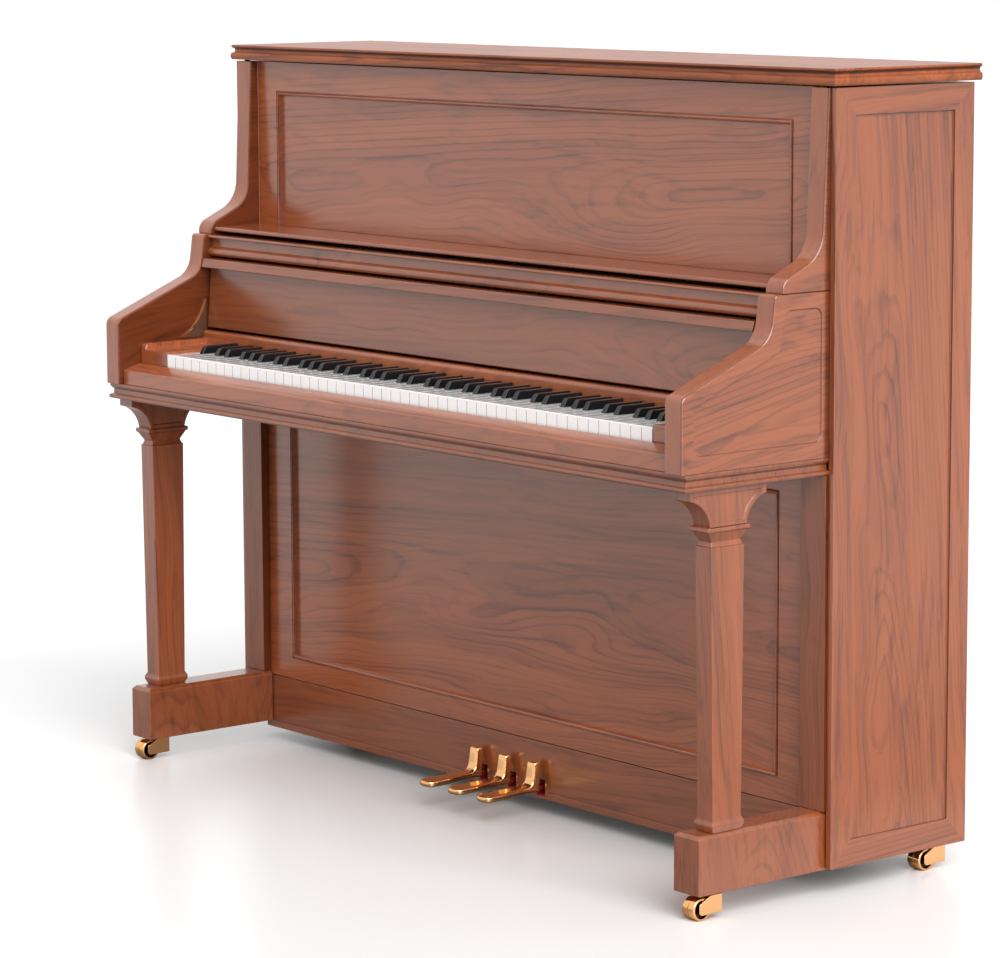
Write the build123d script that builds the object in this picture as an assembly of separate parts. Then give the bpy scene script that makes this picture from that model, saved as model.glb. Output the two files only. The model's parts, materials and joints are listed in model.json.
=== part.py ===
from build123d import *

import os

# Upright piano, millimetres. +X is the treble side, -Y the keyboard side, +Z up, floor at Z = 0.

# Whole case
OVERALL_DEPTH = 581.0
OVERALL_HEIGHT = 1214.5
CASE_HALF = 738.0
UPPER_CASE = 587.5
SIDE_DEPTH = 283.0
SIDE_LIFT = 2.0
SIDE_BORDER = 40.0
SIDE_SINK = 4.0
SKIN = 11.0
SKIN_LAP = 10.0
SEAT = 0.3
PIN_CLEARANCE = 0.05
CUT = 1.0

# Top lid and its hinges
LID_THICK = 25.0
LID_GAP = 2.5
LID_SIDE_LAP = 5.0
LID_FRONT_LAP = 4.0
LID_BACK_LAP = 11.5
LID_COVE = 5.5
LID_BEAD = 5.0
LID_BEAD_HEIGHT = 11.5
LID_TOP_ROUND = 5.0
HINGE_COUNT = 3
HINGE_PITCH = 450.0
HINGE_LENGTH = 80.0
HINGE_LEAF = 2.0
HINGE_LEAF_DEPTH = 34.0
HINGE_BARREL = 4.0
HINGE_PIN = 2.0
HINGE_GAP = 4.25

# Arms and posts
ARM_THICK = 37.0
ARM_HEIGHT = 243.5
ARM_ROUND = 4.0
ARM_NOSE_HEIGHT = 108.83
ARM_SLOPE = 0.414
ARM_BATTER = 8.5
ARM_TOP_ROUND = 6.0
ARM_SWEEP = 42.0
ARM_NOSE_ROUND = 15.0
ARM_TOP_PROUD = 8.5
ARM_FIELD_INSET = 24.0
ARM_FIELD_SINK = 2.5
ARM_FIELD_ROUND = 14.0
POST_PROUD = 5.0
POST_BATTER = 10.6
POST_SLOPE = 0.463
POST_SWEEP = 52.0
NOSE_HEIGHT = 17.19
NOSE_ROUND = 21.0
NOSE_SETBACK = 5.5
BUMPER_RADIUS = 5.0

# Key bed, its moulding and the key slip
BED_THICK = 26.0
BED_SETBACK = 20.5
BED_TAIL = 20.0
MOULD_SETBACK = 6.0
MOULD_PROUD = 2.0
MOULD_COVE = 6.0
MOULD_BEAD = 7.0
MOULD_LIP = 6.0
SLIP_SETBACK = 10.5
SLIP_DEPTH = 33.0
SLIP_HEIGHT = 34.0
SLIP_FALL = 10.0
SLIP_BACK_ROUND = 2.0
SLIP_FRONT_ROUND = 4.0

# Keyboard
WHITE_COUNT = 52
KEY_BLOCK_WIDTH = 77.14
KEY_LIFT = 31.0
KEY_THICK = 23.0
KEY_GAP = 1.0
KEY_ROUND = 1.2
KEY_SLIP_GAP = 3.5
WHITE_SHOWN = 126.0
BLACK_SETBACK = 50.0
BLACK_WIDTH = 10.6
BLACK_RISE = 12.5
BLACK_SUNK = 2.0
BLACK_TAIL_GAP = 1.5
BLACK_BEVEL = 7.0
BLACK_ROUND = 2.5
BALANCE_REACH = 126.0
STRIP_DEPTH = 39.5
STRIP_THICK = 11.0
STRIP_RISE = 3.0
STRIP_ROUND = 6.0
APRON_THICK = 10.0
APRON_GAP = 2.5
BLOCK_RISE = 4.0
BLOCK_ROUND = 3.0
LEDGE_WIDTH = 13.0
LEDGE_RISE = 9.0
LEDGE_ROUND = 7.0
RAIL_WIDTH = 32.0
FRAME_INSET = 6.0
FRAME_FRONT = 12.0
FRAME_BACK = 8.0
FRAME_BAR = 40.0
FRAME_BAR_THICK = 12.0
KEY_DIP_ROOM = 13.0
BALANCE_ROOM = 4.0
BALANCE_RIDGE = 10.0

# Fallboard, its end plates, the rail above it and the music shelf
FALL_GAP = 4.5
FALL_SETBACK = 8.5
FALL_HEIGHT = 118.0
FALL_LEAN = 9.0
FALL_THICK = 14.0
FALL_EDGE_ROUND = 2.0
FALL_END_GAP = 1.0
LIP_REACH = 20.0
LIP_HEIGHT = 15.0
LIP_TAPER = 3.0
FALL_PIN = 4.0
FALL_PIN_DEPTH = 12.0
END_PLATE = 2.5
END_PLATE_RISE = 48.0
END_PLATE_DEPTH = 53.0
END_PLATE_SAG = 9.0
RAIL_GAP = 3.5
RAIL_HEIGHT = 35.5
RAIL_PROUD = 3.0
RAIL_DEPTH = 37.0
RAIL_BULGE = 9.0
RAIL_BEAD = 5.0
SHELF_GAP = 6.5
SHELF_THICK = 7.0
SHELF_SETBACK = 13.0

# Panels
UPPER_SETBACK = 16.0
UPPER_THICK = 18.0
KNEE_SETBACK = 17.0
KNEE_THICK = 20.0
KNEE_DROP = 5.5
PANEL_GAP = 1.5
UPPER_SIDE_BORDER = 52.0
UPPER_TOP_BORDER = 48.0
KNEE_SIDE_BORDER = 62.0
KNEE_END_BORDER = 35.0
BEAD_WIDTH = 9.0
BEAD_SINK = 3.0
FIELD_SINK = 8.0
RAIL_FOOT = 27.0
PLINTH_LINE = 12.0
GROOVE = 1.5

# Lower stiles, toe blocks and legs
STILE_WIDTH = 53.0
TOE_WIDTH = 54.0
TOE_INSET = 14.0
TOE_SETBACK = 38.0
TOE_HEIGHT = 88.0
TOE_CHAMFER = 5.4
LEG_INSET = 34.5
LEG_WIDTH = 34.0
LEG_SETBACK = 63.5
LEG_TOP_DEPTH = 64.0
LEG_FOOT_DEPTH = 55.0
FOOT_HEIGHT = 20.0
FOOT_FLARE = 3.5
NECK_DROP = 84.0
NECK_RISE = 7.0
NECK_WAIST = 4.0
NECK_FLARE = 2.5
RING_DROP = 55.0
RING_BEAD = 7.0
RING_PROUD_WIDTH = 3.0
RING_PROUD_DEPTH = 9.0
RING_STEP = 2.5
BRACKET_SETBACK = 22.5
BRACKET_DEPTH = 147.0
BRACKET_WAIST = 6.0
BRACKET_SAG = 9.0
BRACKET_PROUD = 1.0
BRACKET_RIM = 7.0
BRACKET_SINK = 2.0
ABACUS = 14.0

# Back structure and stringing
POST_COUNT = 5
POST_END = 90.0
POST_WIDTH = 70.0
POST_DEPTH = 65.0
BEAM_HEIGHT = 91.0
RIB_COUNT = 5
RIB_DEPTH = 14.0
RIB_WIDTH = 24.0
RIB_PITCH = 190.0
RIB_END = 49.0
RIB_LEAN = 14.0
BRIDGE_FOOT = 90.0
BRIDGE_STEP = 55.0
BRIDGE_HEIGHT = 28.0
BRIDGE_GAP = 2.0
BRIDGE_END = 4.0
BOARD_THICK = 8.0
PIN_BLOCK_DEPTH = 32.0
PIN_BLOCK_INSET = 39.7
PIN_BLOCK_RISE = 45.0
PIN_BLOCK_HEIGHT = 175.0
PLATE_THICK = 14.0
PLATE_LIFT = 91.0
HITCH_HEIGHT = 100.0
HITCH_INSET = 20.0
HITCH_SPREAD = 60.0
BASS_HITCH = 30.0
STRUT_COUNT = 9
STRUT_WIDTH = 24.0
NOTE_COUNT = 88
BASS_COUNT = 26
TENOR_WIRE = 0.8
BASS_WIRE = 1.6
TENOR_RISE = 6.5
BASS_RISE = 12.0
BASS_SLANT = 330.0
PIN_ROWS = 4
PIN_ROW_FOOT = 40.0
PIN_ROW_PITCH = 25.0
PIN_REACH = 16.0
TUNING_PIN = 3.2

# Action
ACTION_MARGIN = 12.44
ACTION_PLATE = 12.0
ACTION_FOOT = 5.0
ACTION_SHOULDER = 20.0
ACTION_GAP = 4.0
HAMMER_REACH = 46.0
HAMMER_LIFT = 99.0
HAMMER_LENGTH = 139.0
HAMMER_LEAN = 28.0
HAMMER_WIDTH = 9.0
HAMMER_BUTT = 5.0
HAMMER_BUTT_RISE = 16.0
HAMMER_SHANK = 3.0
HAMMER_HEAD = 14.0
HAMMER_FELT = 32.0
REST_RISE = 36.0
REST_SIZE = 14.0
REST_GAP = 1.2
KEY_TO_HAMMER = 12.0
DAMPER_REACH = 30.0
DAMPER_LIFT = 65.0
DAMPER_LENGTH = 123.0
DAMPER_HEAD = 30.0
DAMPER_WIDTH = 7.0
DAMPER_HALF_DEPTH = 5.0
DAMPER_BLOCK = 12.0
DAMPER_COUNT = 68
CENTRE_PIN = 1.5
MUFFLER_RISE = 25.0
MUFFLER_GAP = 6.0
MUFFLER_THICK = 9.0
MUFFLER_FELT = 15.0
MUFFLER_FELT_THICK = 3.0
MUFFLER_FELT_INSET = 12.0

# Pedals
PEDAL_MIDDLE_X = -14.0
PEDAL_PITCH = 73.0
PEDAL_AXIS_LIFT = 12.0
PEDAL_FRONT_LEVER = 72.0
PEDAL_PIN = 4.0
PEDAL_BAR = 12.0
PEDAL_TONGUE_LENGTH = 100.0
PEDAL_TIP_DROP = 2.5
PEDAL_TIP_LENGTH = 38.0
PEDAL_HEEL_LENGTH = 18.0
PEDAL_NECK_REACH = 26.0
PEDAL_NECK_DEPTH = 16.0
PEDAL_NECK_HEIGHT = 45.0
PEDAL_TONGUE = 10.5
PEDAL_TIP_WIDTH = 34.0
PEDAL_HEEL_WIDTH = 23.0
PIVOT_WIDTH = 18.0
PIVOT_DEPTH = 28.0
PIVOT_RISE = 8.0
SLOT_SIDE = 4.5
SLOT_HALF = 15.0
STICK_RADIUS = 5.0
STICK_INSET = 10.0
STICK_GAP = 9.0
STICK_RISE = 121.0
BOTTOM_BOARD_TOP = 34.0
BOTTOM_BOARD_THICK = 6.0
CLEAT_FRONT = 38.0
CLEAT_LAP = 20.0

# Casters
WHEEL_RADIUS = 17.0
WHEEL_WIDTH = 25.0
WHEEL_GROOVE = 1.2
WHEEL_GROOVE_WIDTH = 2.0
WHEEL_ROUND = 1.5
AXLE_RADIUS = 3.0
CHEEK = 3.2
CHEEK_NOSE = 8.0
CASTER_RISE = 5.0
CASTER_PLATE = 3.0
CASTER_INSET = 35.0
CASTER_TRAIL = 28.0
FRONT_WHEEL_INSET = 14.5
REAR_WHEEL_INSET = 59.0
STEM_RADIUS = 5.0
STEM_DEPTH = 24.0

# Places that follow from the sizes above
CASE_TOP = OVERALL_HEIGHT - LID_THICK - LID_GAP
LID_BOTTOM = OVERALL_HEIGHT - LID_THICK
TOE_BOTTOM = 2 * WHEEL_RADIUS + CASTER_RISE
TOE_TOP = TOE_BOTTOM + TOE_HEIGHT
SIDE_BOTTOM = TOE_BOTTOM + SIDE_LIFT
KNEE_BOTTOM = TOE_TOP - KNEE_DROP
BED_BOTTOM = OVERALL_HEIGHT - UPPER_CASE
ARM_BOTTOM = BED_BOTTOM + BED_THICK
SEAM_HEIGHT = ARM_BOTTOM + ARM_HEIGHT
KEY_BOTTOM = ARM_BOTTOM + KEY_LIFT
WHITE_TOP = KEY_BOTTOM + KEY_THICK
BLACK_TOP = WHITE_TOP + BLACK_RISE
STRIP_BOTTOM = BLACK_TOP + STRIP_RISE
STRIP_TOP = STRIP_BOTTOM + STRIP_THICK
BLOCK_TOP = WHITE_TOP + BLOCK_RISE
FALL_BOTTOM = STRIP_TOP + FALL_GAP
FALL_TOP = FALL_BOTTOM + FALL_HEIGHT
FALL_AXIS_Z = FALL_BOTTOM + FALL_THICK / 2
END_PLATE_TOP = FALL_BOTTOM + END_PLATE_RISE
RAIL_BOTTOM = FALL_TOP + RAIL_GAP
RAIL_TOP = RAIL_BOTTOM + RAIL_HEIGHT
SHELF_TOP = RAIL_TOP + SHELF_GAP + SHELF_THICK
NECK_HEIGHT = BED_BOTTOM - NECK_DROP
RING_HEIGHT = BED_BOTTOM - RING_DROP
HAMMER_AXIS_Z = WHITE_TOP + HAMMER_LIFT
HAMMER_TOP = HAMMER_AXIS_Z + HAMMER_LENGTH
DAMPER_AXIS_Z = WHITE_TOP + DAMPER_LIFT
DAMPER_TOP = DAMPER_AXIS_Z + DAMPER_LENGTH
MUFFLER_BOTTOM = HAMMER_TOP + MUFFLER_RISE
PIN_BLOCK_BOTTOM = HAMMER_TOP + PIN_BLOCK_RISE
PIN_BLOCK_TOP = PIN_BLOCK_BOTTOM + PIN_BLOCK_HEIGHT
PLATE_FOOT = TOE_BOTTOM + PLATE_LIFT
PLATE_HITCH = PLATE_FOOT + HITCH_HEIGHT
HINGE_Z = LID_BOTTOM - HINGE_GAP
BEAM_TOP = HINGE_Z - HINGE_GAP
PEDAL_AXIS_Z = BOTTOM_BOARD_TOP + PEDAL_AXIS_LIFT
PEDAL_NECK_TOP = PEDAL_AXIS_Z + PEDAL_NECK_HEIGHT
STICK_TOP = BED_BOTTOM + STICK_RISE

LID_HALF = CASE_HALF + LID_SIDE_LAP
ARM_OUT = CASE_HALF - SKIN
ARM_IN = ARM_OUT - ARM_THICK
INSIDE = ARM_IN - SEAT
KEYS_HALF = INSIDE - KEY_BLOCK_WIDTH
WHITE_PITCH = 2 * KEYS_HALF / WHITE_COUNT
FALL_HALF = ARM_IN - END_PLATE - FALL_END_GAP
TOE_OUT = CASE_HALF - TOE_INSET
TOE_IN = TOE_OUT - TOE_WIDTH
LEG_X = CASE_HALF - LEG_INSET
CASTER_X = CASE_HALF - CASTER_INSET
PIN_BLOCK_HALF = INSIDE - PIN_BLOCK_INSET
ACTION_HALF = KEYS_HALF + ACTION_MARGIN
POST_PITCH = 2 * (ARM_IN - POST_END) / (POST_COUNT - 1)

LID_BACK = OVERALL_DEPTH / 2
CASE_BACK = LID_BACK - LID_BACK_LAP
SIDE_FRONT = CASE_BACK - SIDE_DEPTH
SIDE_REBATE = SIDE_FRONT + SKIN_LAP
POST_FRONT = SIDE_FRONT - POST_PROUD
LID_FRONT = POST_FRONT - LID_FRONT_LAP
UPPER_FRONT = POST_FRONT + UPPER_SETBACK
KNEE_FRONT = POST_FRONT + KNEE_SETBACK
POSTS_FRONT = CASE_BACK - POST_DEPTH
SOUND_BACK = POSTS_FRONT - RIB_DEPTH - 2 * SEAT
SOUND_FRONT = SOUND_BACK - BOARD_THICK
PIN_BLOCK_FRONT = POSTS_FRONT - PIN_BLOCK_DEPTH
PLATE_FRONT = PIN_BLOCK_FRONT - PLATE_THICK
TENOR_WIRE_Y = PLATE_FRONT - TENOR_RISE
BASS_WIRE_Y = PLATE_FRONT - BASS_RISE
HAMMER_AXIS_Y = BASS_WIRE_Y - HAMMER_REACH
DAMPER_AXIS_Y = BASS_WIRE_Y - DAMPER_REACH
KEY_BACK = HAMMER_AXIS_Y - KEY_TO_HAMMER
BED_BACK = KEY_BACK + BED_TAIL
BALANCE_Y = KEY_BACK - BALANCE_REACH
HINGE_Y = CASE_BACK + HINGE_BARREL
REAR_WHEEL_Y = CASE_BACK - REAR_WHEEL_INSET
PEDAL_NECK_FRONT = KNEE_FRONT - PEDAL_NECK_REACH
PEDAL_TIP = PEDAL_NECK_FRONT - PEDAL_TONGUE_LENGTH
PEDAL_AXIS_Y = KNEE_FRONT + PEDAL_FRONT_LEVER
STICK_Y = BED_BACK + STICK_GAP + STICK_RADIUS
PEDAL_BACK = STICK_Y + STICK_INSET

ARM_FRONT = -OVERALL_DEPTH / 2
BED_FRONT = ARM_FRONT + BED_SETBACK
MOULD_FRONT = ARM_FRONT + MOULD_SETBACK
SLIP_FRONT = ARM_FRONT + SLIP_SETBACK
SLIP_BACK = SLIP_FRONT + SLIP_DEPTH
WHITE_FRONT = SLIP_BACK + KEY_SLIP_GAP
BLACK_FRONT = WHITE_FRONT + BLACK_SETBACK
STRIP_FRONT = WHITE_FRONT + WHITE_SHOWN
STRIP_BACK = STRIP_FRONT + STRIP_DEPTH
FALL_FRONT_LOW = STRIP_FRONT + FALL_SETBACK
FALL_FRONT_HIGH = FALL_FRONT_LOW + FALL_LEAN
FALL_AXIS_Y = FALL_FRONT_LOW + FALL_THICK / 2
END_PLATE_FRONT = FALL_FRONT_LOW - END_PLATE_DEPTH
RAIL_FRONT = FALL_FRONT_HIGH - RAIL_PROUD
RAIL_BACK = RAIL_FRONT + RAIL_DEPTH
SHELF_FRONT = RAIL_FRONT + SHELF_SETBACK
UPPER_NOSE_FRONT = RAIL_FRONT + NOSE_SETBACK
LOWER_ARM_TOP_FRONT = RAIL_FRONT - ARM_TOP_PROUD
TOE_FRONT = ARM_FRONT + TOE_SETBACK
FRONT_WHEEL_Y = TOE_FRONT + FRONT_WHEEL_INSET
LEG_FRONT = ARM_FRONT + LEG_SETBACK
BRACKET_FRONT = ARM_FRONT + BRACKET_SETBACK
BRACKET_BACK = BRACKET_FRONT + BRACKET_DEPTH

KEY_NAMES = ["a", "a_sharp", "b", "c", "c_sharp", "d", "d_sharp", "e", "f", "f_sharp", "g", "g_sharp"]
BLACK_SHIFT = {"c_sharp": -1.8, "d_sharp": 1.8, "f_sharp": -2.6, "g_sharp": 0.0, "a_sharp": 2.6}


def block(x0, x1, y0, y1, z0, z1):
    """Box between two corners."""
    return Pos((x0 + x1) / 2, (y0 + y1) / 2, (z0 + z1) / 2) * Box(x1 - x0, y1 - y0, z1 - z0)


def outline(points, radii=None):
    """Face inside a closed run of points, each corner with its own radius."""
    if radii is None:
        return make_face(Polyline(*points, close=True))
    return make_face(FilletPolyline(*points, radius=radii, close=True))


def along_x(face, x0, x1):
    """Stretch a face drawn in (y, z) from x0 to x1."""
    return extrude(Plane.YZ.offset(x0) * face, x1 - x0)


def along_y(face, y0, y1):
    """Stretch a face drawn in (x, z) from y0 to y1."""
    return extrude(Plane.XZ.offset(-y0) * face, y0 - y1)


def along_z(face, z0, z1):
    """Stretch a face drawn in (x, y) from z0 to z1."""
    return extrude(Pos(0, 0, z0) * face, z1 - z0)


def rod_x(radius, x0, x1, y, z):
    """Round bar lying along X."""
    return Solid.make_cylinder(radius, x1 - x0, Plane((x0, y, z), z_dir=(1, 0, 0)))


def rod_z(radius, x, y, z0, z1):
    """Round bar standing along Z."""
    return Solid.make_cylinder(radius, z1 - z0, Plane((x, y, z0)))


def bass(part):
    """The bass-side twin of a treble-side piece."""
    return mirror(part, about=Plane.YZ)


def slope_at(point, slope, y):
    """Height of a sloping line through a point, at another depth."""
    return point[1] + (y - point[0]) * slope


def taper(width0, depth0, z0, width1, depth1, z1, x, y):
    """Four-sided tapering block between two level rectangles."""
    low = Pos(x, y, z0) * Rectangle(width0, depth0)
    high = Pos(x, y, z1) * Rectangle(width1, depth1)
    return loft([low, high])


def rounded_long_edges(part, x_faces, keep_out):
    """Round the edges that lie on two end faces, apart from those a test keeps sharp."""
    edges = [
        edge for edge in part.edges()
        if any(abs(edge.center().X - x) < 0.01 for x in x_faces) and not keep_out(edge.center())
    ]
    return fillet(edges, ARM_ROUND)


def case_side():
    """Side of the case: outer skin runs on in front of the thick part to cover the arm's joint."""
    plan = outline([
        (ARM_IN, SIDE_REBATE), (ARM_OUT, SIDE_REBATE), (ARM_OUT, SIDE_FRONT),
        (CASE_HALF, SIDE_FRONT), (CASE_HALF, CASE_BACK), (ARM_IN, CASE_BACK),
    ])
    side = along_z(plan, SIDE_BOTTOM, CASE_TOP)
    side -= block(
        CASE_HALF - SIDE_SINK, CASE_HALF + CUT, SIDE_FRONT + SIDE_BORDER, CASE_BACK - SIDE_BORDER,
        SIDE_BOTTOM + SIDE_BORDER, CASE_TOP - SIDE_BORDER,
    )
    socket = rod_z(
        STEM_RADIUS + PIN_CLEARANCE, CASTER_X, REAR_WHEEL_Y + CASTER_TRAIL,
        SIDE_BOTTOM - CUT, TOE_BOTTOM + STEM_DEPTH + CUT,
    )
    return side - socket


def upper_post():
    """Post beside the upper panel: nearly plumb, sweeping forward to a blunt nose."""
    nose = (UPPER_NOSE_FRONT, SEAM_HEIGHT + NOSE_HEIGHT)
    knee_y = POST_FRONT - POST_BATTER
    run = knee_y - UPPER_NOSE_FRONT
    face = outline(
        [
            (SIDE_REBATE, SEAM_HEIGHT), (SIDE_REBATE, CASE_TOP), (POST_FRONT, CASE_TOP),
            (knee_y, slope_at(nose, POST_SLOPE, knee_y)), nose, (UPPER_NOSE_FRONT, SEAM_HEIGHT),
        ],
        [0, 0, 0, min(POST_SWEEP, run * 0.7), min(NOSE_ROUND, run * 0.3), 0],
    )
    post = along_x(face, ARM_IN, ARM_OUT)

    def sharp(centre):
        return centre.Y > POST_FRONT + 0.01 or abs(centre.Z - SEAM_HEIGHT) < 0.01

    post = rounded_long_edges(post, (ARM_IN, ARM_OUT), sharp)
    bumper = rod_z(
        BUMPER_RADIUS, (ARM_IN + ARM_OUT) / 2, (SIDE_REBATE + POST_FRONT) / 2,
        CASE_TOP - CUT, LID_BOTTOM - SEAT,
    )
    return post + bumper


def lower_arm():
    """Arm beside the keys: short upright, hollow curve, long slope and a rounded front."""
    nose = (ARM_FRONT, ARM_BOTTOM + ARM_NOSE_HEIGHT)
    elbow_y = LOWER_ARM_TOP_FRONT - ARM_BATTER
    points = [
        (SIDE_REBATE, ARM_BOTTOM), (SIDE_REBATE, SEAM_HEIGHT), (LOWER_ARM_TOP_FRONT, SEAM_HEIGHT),
        (elbow_y, slope_at(nose, ARM_SLOPE, elbow_y)), nose, (ARM_FRONT, ARM_BOTTOM),
    ]
    face = outline(points, [0, 0, ARM_TOP_ROUND, ARM_SWEEP, ARM_NOSE_ROUND, 0])
    arm = along_x(face, ARM_IN, ARM_OUT)

    def sharp(centre):
        on_ledge = abs(centre.Z - SEAM_HEIGHT) < 0.01
        return centre.Y > SIDE_REBATE - 0.01 or abs(centre.Z - ARM_BOTTOM) < 0.01 or on_ledge

    arm = rounded_long_edges(arm, (ARM_IN, ARM_OUT), sharp)
    inset = offset(outline(points), amount=-ARM_FIELD_INSET, kind=Kind.INTERSECTION)
    inset = fillet(inset.vertices(), ARM_FIELD_ROUND)
    arm -= along_x(inset, ARM_OUT - ARM_FIELD_SINK, ARM_OUT + CUT)
    pin_hole = rod_x(
        FALL_PIN + PIN_CLEARANCE, ARM_IN - CUT, ARM_IN + FALL_PIN_DEPTH + CUT, FALL_AXIS_Y, FALL_AXIS_Z,
    )
    return arm - pin_hole


def lower_stile():
    """Flat stile beside the knee panel, standing on the toe block."""
    return block(ARM_OUT - STILE_WIDTH, ARM_OUT, POST_FRONT, SIDE_REBATE, TOE_TOP, BED_BOTTOM)


def toe_block():
    """Low block that carries the leg and the front caster."""
    body = block(TOE_IN, TOE_OUT, TOE_FRONT, SIDE_REBATE, TOE_BOTTOM, TOE_TOP)
    top_edges = [
        edge for edge in body.edges()
        if abs(edge.center().Z - TOE_TOP) < 0.01 and edge.center().Y < SIDE_REBATE - 0.01
    ]
    body = chamfer(top_edges, TOE_CHAMFER)
    socket = rod_z(
        STEM_RADIUS + PIN_CLEARANCE, CASTER_X, FRONT_WHEEL_Y + CASTER_TRAIL,
        TOE_BOTTOM - CUT, TOE_BOTTOM + STEM_DEPTH + CUT,
    )
    return body - socket


def leg():
    """Square tapering leg with a moulded foot and a bracket capital under the key bed."""
    mid = LEG_FRONT + LEG_TOP_DEPTH / 2
    half = LEG_WIDTH / 2
    foot_top = TOE_TOP + FOOT_HEIGHT
    column = loft([
        Pos(LEG_X, mid, foot_top) * Rectangle(LEG_WIDTH, LEG_FOOT_DEPTH),
        Pos(LEG_X, mid, NECK_HEIGHT) * Rectangle(LEG_WIDTH, LEG_TOP_DEPTH),
    ])
    flare_width = LEG_WIDTH + 2 * FOOT_FLARE
    flare_depth = LEG_FOOT_DEPTH + 2 * FOOT_FLARE
    shoulder = TOE_TOP + FOOT_HEIGHT * 0.65
    heel = TOE_TOP + FOOT_HEIGHT * 0.4
    foot = taper(flare_width, flare_depth, shoulder, LEG_WIDTH, LEG_FOOT_DEPTH, foot_top, LEG_X, mid)
    foot += taper(flare_width, flare_depth, heel, flare_width, flare_depth, shoulder, LEG_X, mid)
    foot += taper(LEG_WIDTH, LEG_FOOT_DEPTH, TOE_TOP, flare_width, flare_depth, heel, LEG_X, mid)
    ring_depth = LEG_TOP_DEPTH + 2 * RING_PROUD_DEPTH
    ring_width = LEG_WIDTH + 2 * RING_PROUD_WIDTH
    ring_low = RING_HEIGHT - RING_BEAD
    neck_top = NECK_HEIGHT + NECK_RISE
    neck_width = LEG_WIDTH - 2 * NECK_WAIST
    neck_depth = LEG_TOP_DEPTH - 2 * NECK_WAIST
    neck = taper(
        neck_width + 2 * NECK_FLARE, neck_depth + 2 * NECK_FLARE, NECK_HEIGHT,
        neck_width, neck_depth, neck_top, LEG_X, mid,
    )
    neck += taper(
        neck_width, neck_depth, neck_top,
        ring_width - 2 * RING_STEP, ring_depth - 2 * RING_STEP, ring_low, LEG_X, mid,
    )
    ring = block(
        LEG_X - ring_width / 2, LEG_X + ring_width / 2, mid - ring_depth / 2, mid + ring_depth / 2,
        ring_low, RING_HEIGHT,
    )
    ring = fillet(ring.edges(), RING_BEAD * 0.3)
    waist = ring_depth / 2 - BRACKET_WAIST
    bracket_face = make_face([
        Line((mid - waist, RING_HEIGHT), (mid + waist, RING_HEIGHT)),
        SagittaArc((mid + waist, RING_HEIGHT), (BRACKET_BACK, BED_BOTTOM - ABACUS), BRACKET_SAG),
        Line((BRACKET_BACK, BED_BOTTOM - ABACUS), (BRACKET_BACK, BED_BOTTOM)),
        Line((BRACKET_BACK, BED_BOTTOM), (BRACKET_FRONT, BED_BOTTOM)),
        Line((BRACKET_FRONT, BED_BOTTOM), (BRACKET_FRONT, BED_BOTTOM - ABACUS)),
        SagittaArc((BRACKET_FRONT, BED_BOTTOM - ABACUS), (mid - waist, RING_HEIGHT), BRACKET_SAG),
    ])
    bracket_half = half + BRACKET_PROUD
    floor = bracket_half - BRACKET_SINK
    bracket = along_x(bracket_face, LEG_X - bracket_half, LEG_X + bracket_half)
    sunk = offset(bracket_face, amount=-BRACKET_RIM)
    bracket -= along_x(sunk, LEG_X + floor, LEG_X + bracket_half + CUT)
    bracket -= along_x(sunk, LEG_X - bracket_half - CUT, LEG_X - floor)
    return column + foot + neck + ring + bracket


def top_lid():
    """Lid with a cove-and-bead edge, mitred round the front and both ends."""
    toe = LID_BEAD * 0.4
    brow = LID_BEAD * 0.3
    lip = LID_TOP_ROUND / 2
    cove_high = OVERALL_HEIGHT - LID_TOP_ROUND
    cove_low = LID_BOTTOM + LID_BEAD_HEIGHT
    cove_mid = (cove_high + cove_low) / 2 + brow

    def edge_run(edge, inward):
        """Lid edge from the bottom up: rounded bead, hollow, small top round."""
        deep = edge + inward * LID_COVE
        return [
            Line((edge + inward * LID_BEAD, LID_BOTTOM), (edge + inward * toe, LID_BOTTOM)),
            ThreePointArc(
                (edge + inward * toe, LID_BOTTOM), (edge, LID_BOTTOM + LID_BEAD_HEIGHT * 4 / 9),
                (edge + inward * brow, cove_low),
            ),
            ThreePointArc(
                (edge + inward * brow, cove_low), (deep, cove_mid), (edge + inward * lip, cove_high),
            ),
            ThreePointArc(
                (edge + inward * lip, cove_high), (edge + inward * lip * 0.4, cove_high + lip),
                (edge + inward * lip, OVERALL_HEIGHT),
            ),
        ]

    front = edge_run(LID_FRONT, 1)
    front += [
        Line((LID_FRONT + lip, OVERALL_HEIGHT), (LID_BACK, OVERALL_HEIGHT)),
        Line((LID_BACK, OVERALL_HEIGHT), (LID_BACK, LID_BOTTOM)),
        Line((LID_BACK, LID_BOTTOM), (LID_FRONT + LID_BEAD, LID_BOTTOM)),
    ]
    ends = edge_run(-LID_HALF, 1) + edge_run(LID_HALF, -1)
    ends += [
        Line((-LID_HALF + lip, OVERALL_HEIGHT), (LID_HALF - lip, OVERALL_HEIGHT)),
        Line((-LID_HALF + LID_BEAD, LID_BOTTOM), (LID_HALF - LID_BEAD, LID_BOTTOM)),
    ]
    long_way = along_x(make_face(front), -LID_HALF, LID_HALF)
    cross_way = along_y(make_face(ends), LID_FRONT, LID_BACK)
    return long_way & cross_way


def hinge_places():
    """Middle of each lid hinge along X."""
    return [(index - (HINGE_COUNT - 1) / 2) * HINGE_PITCH for index in range(HINGE_COUNT)]


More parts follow.
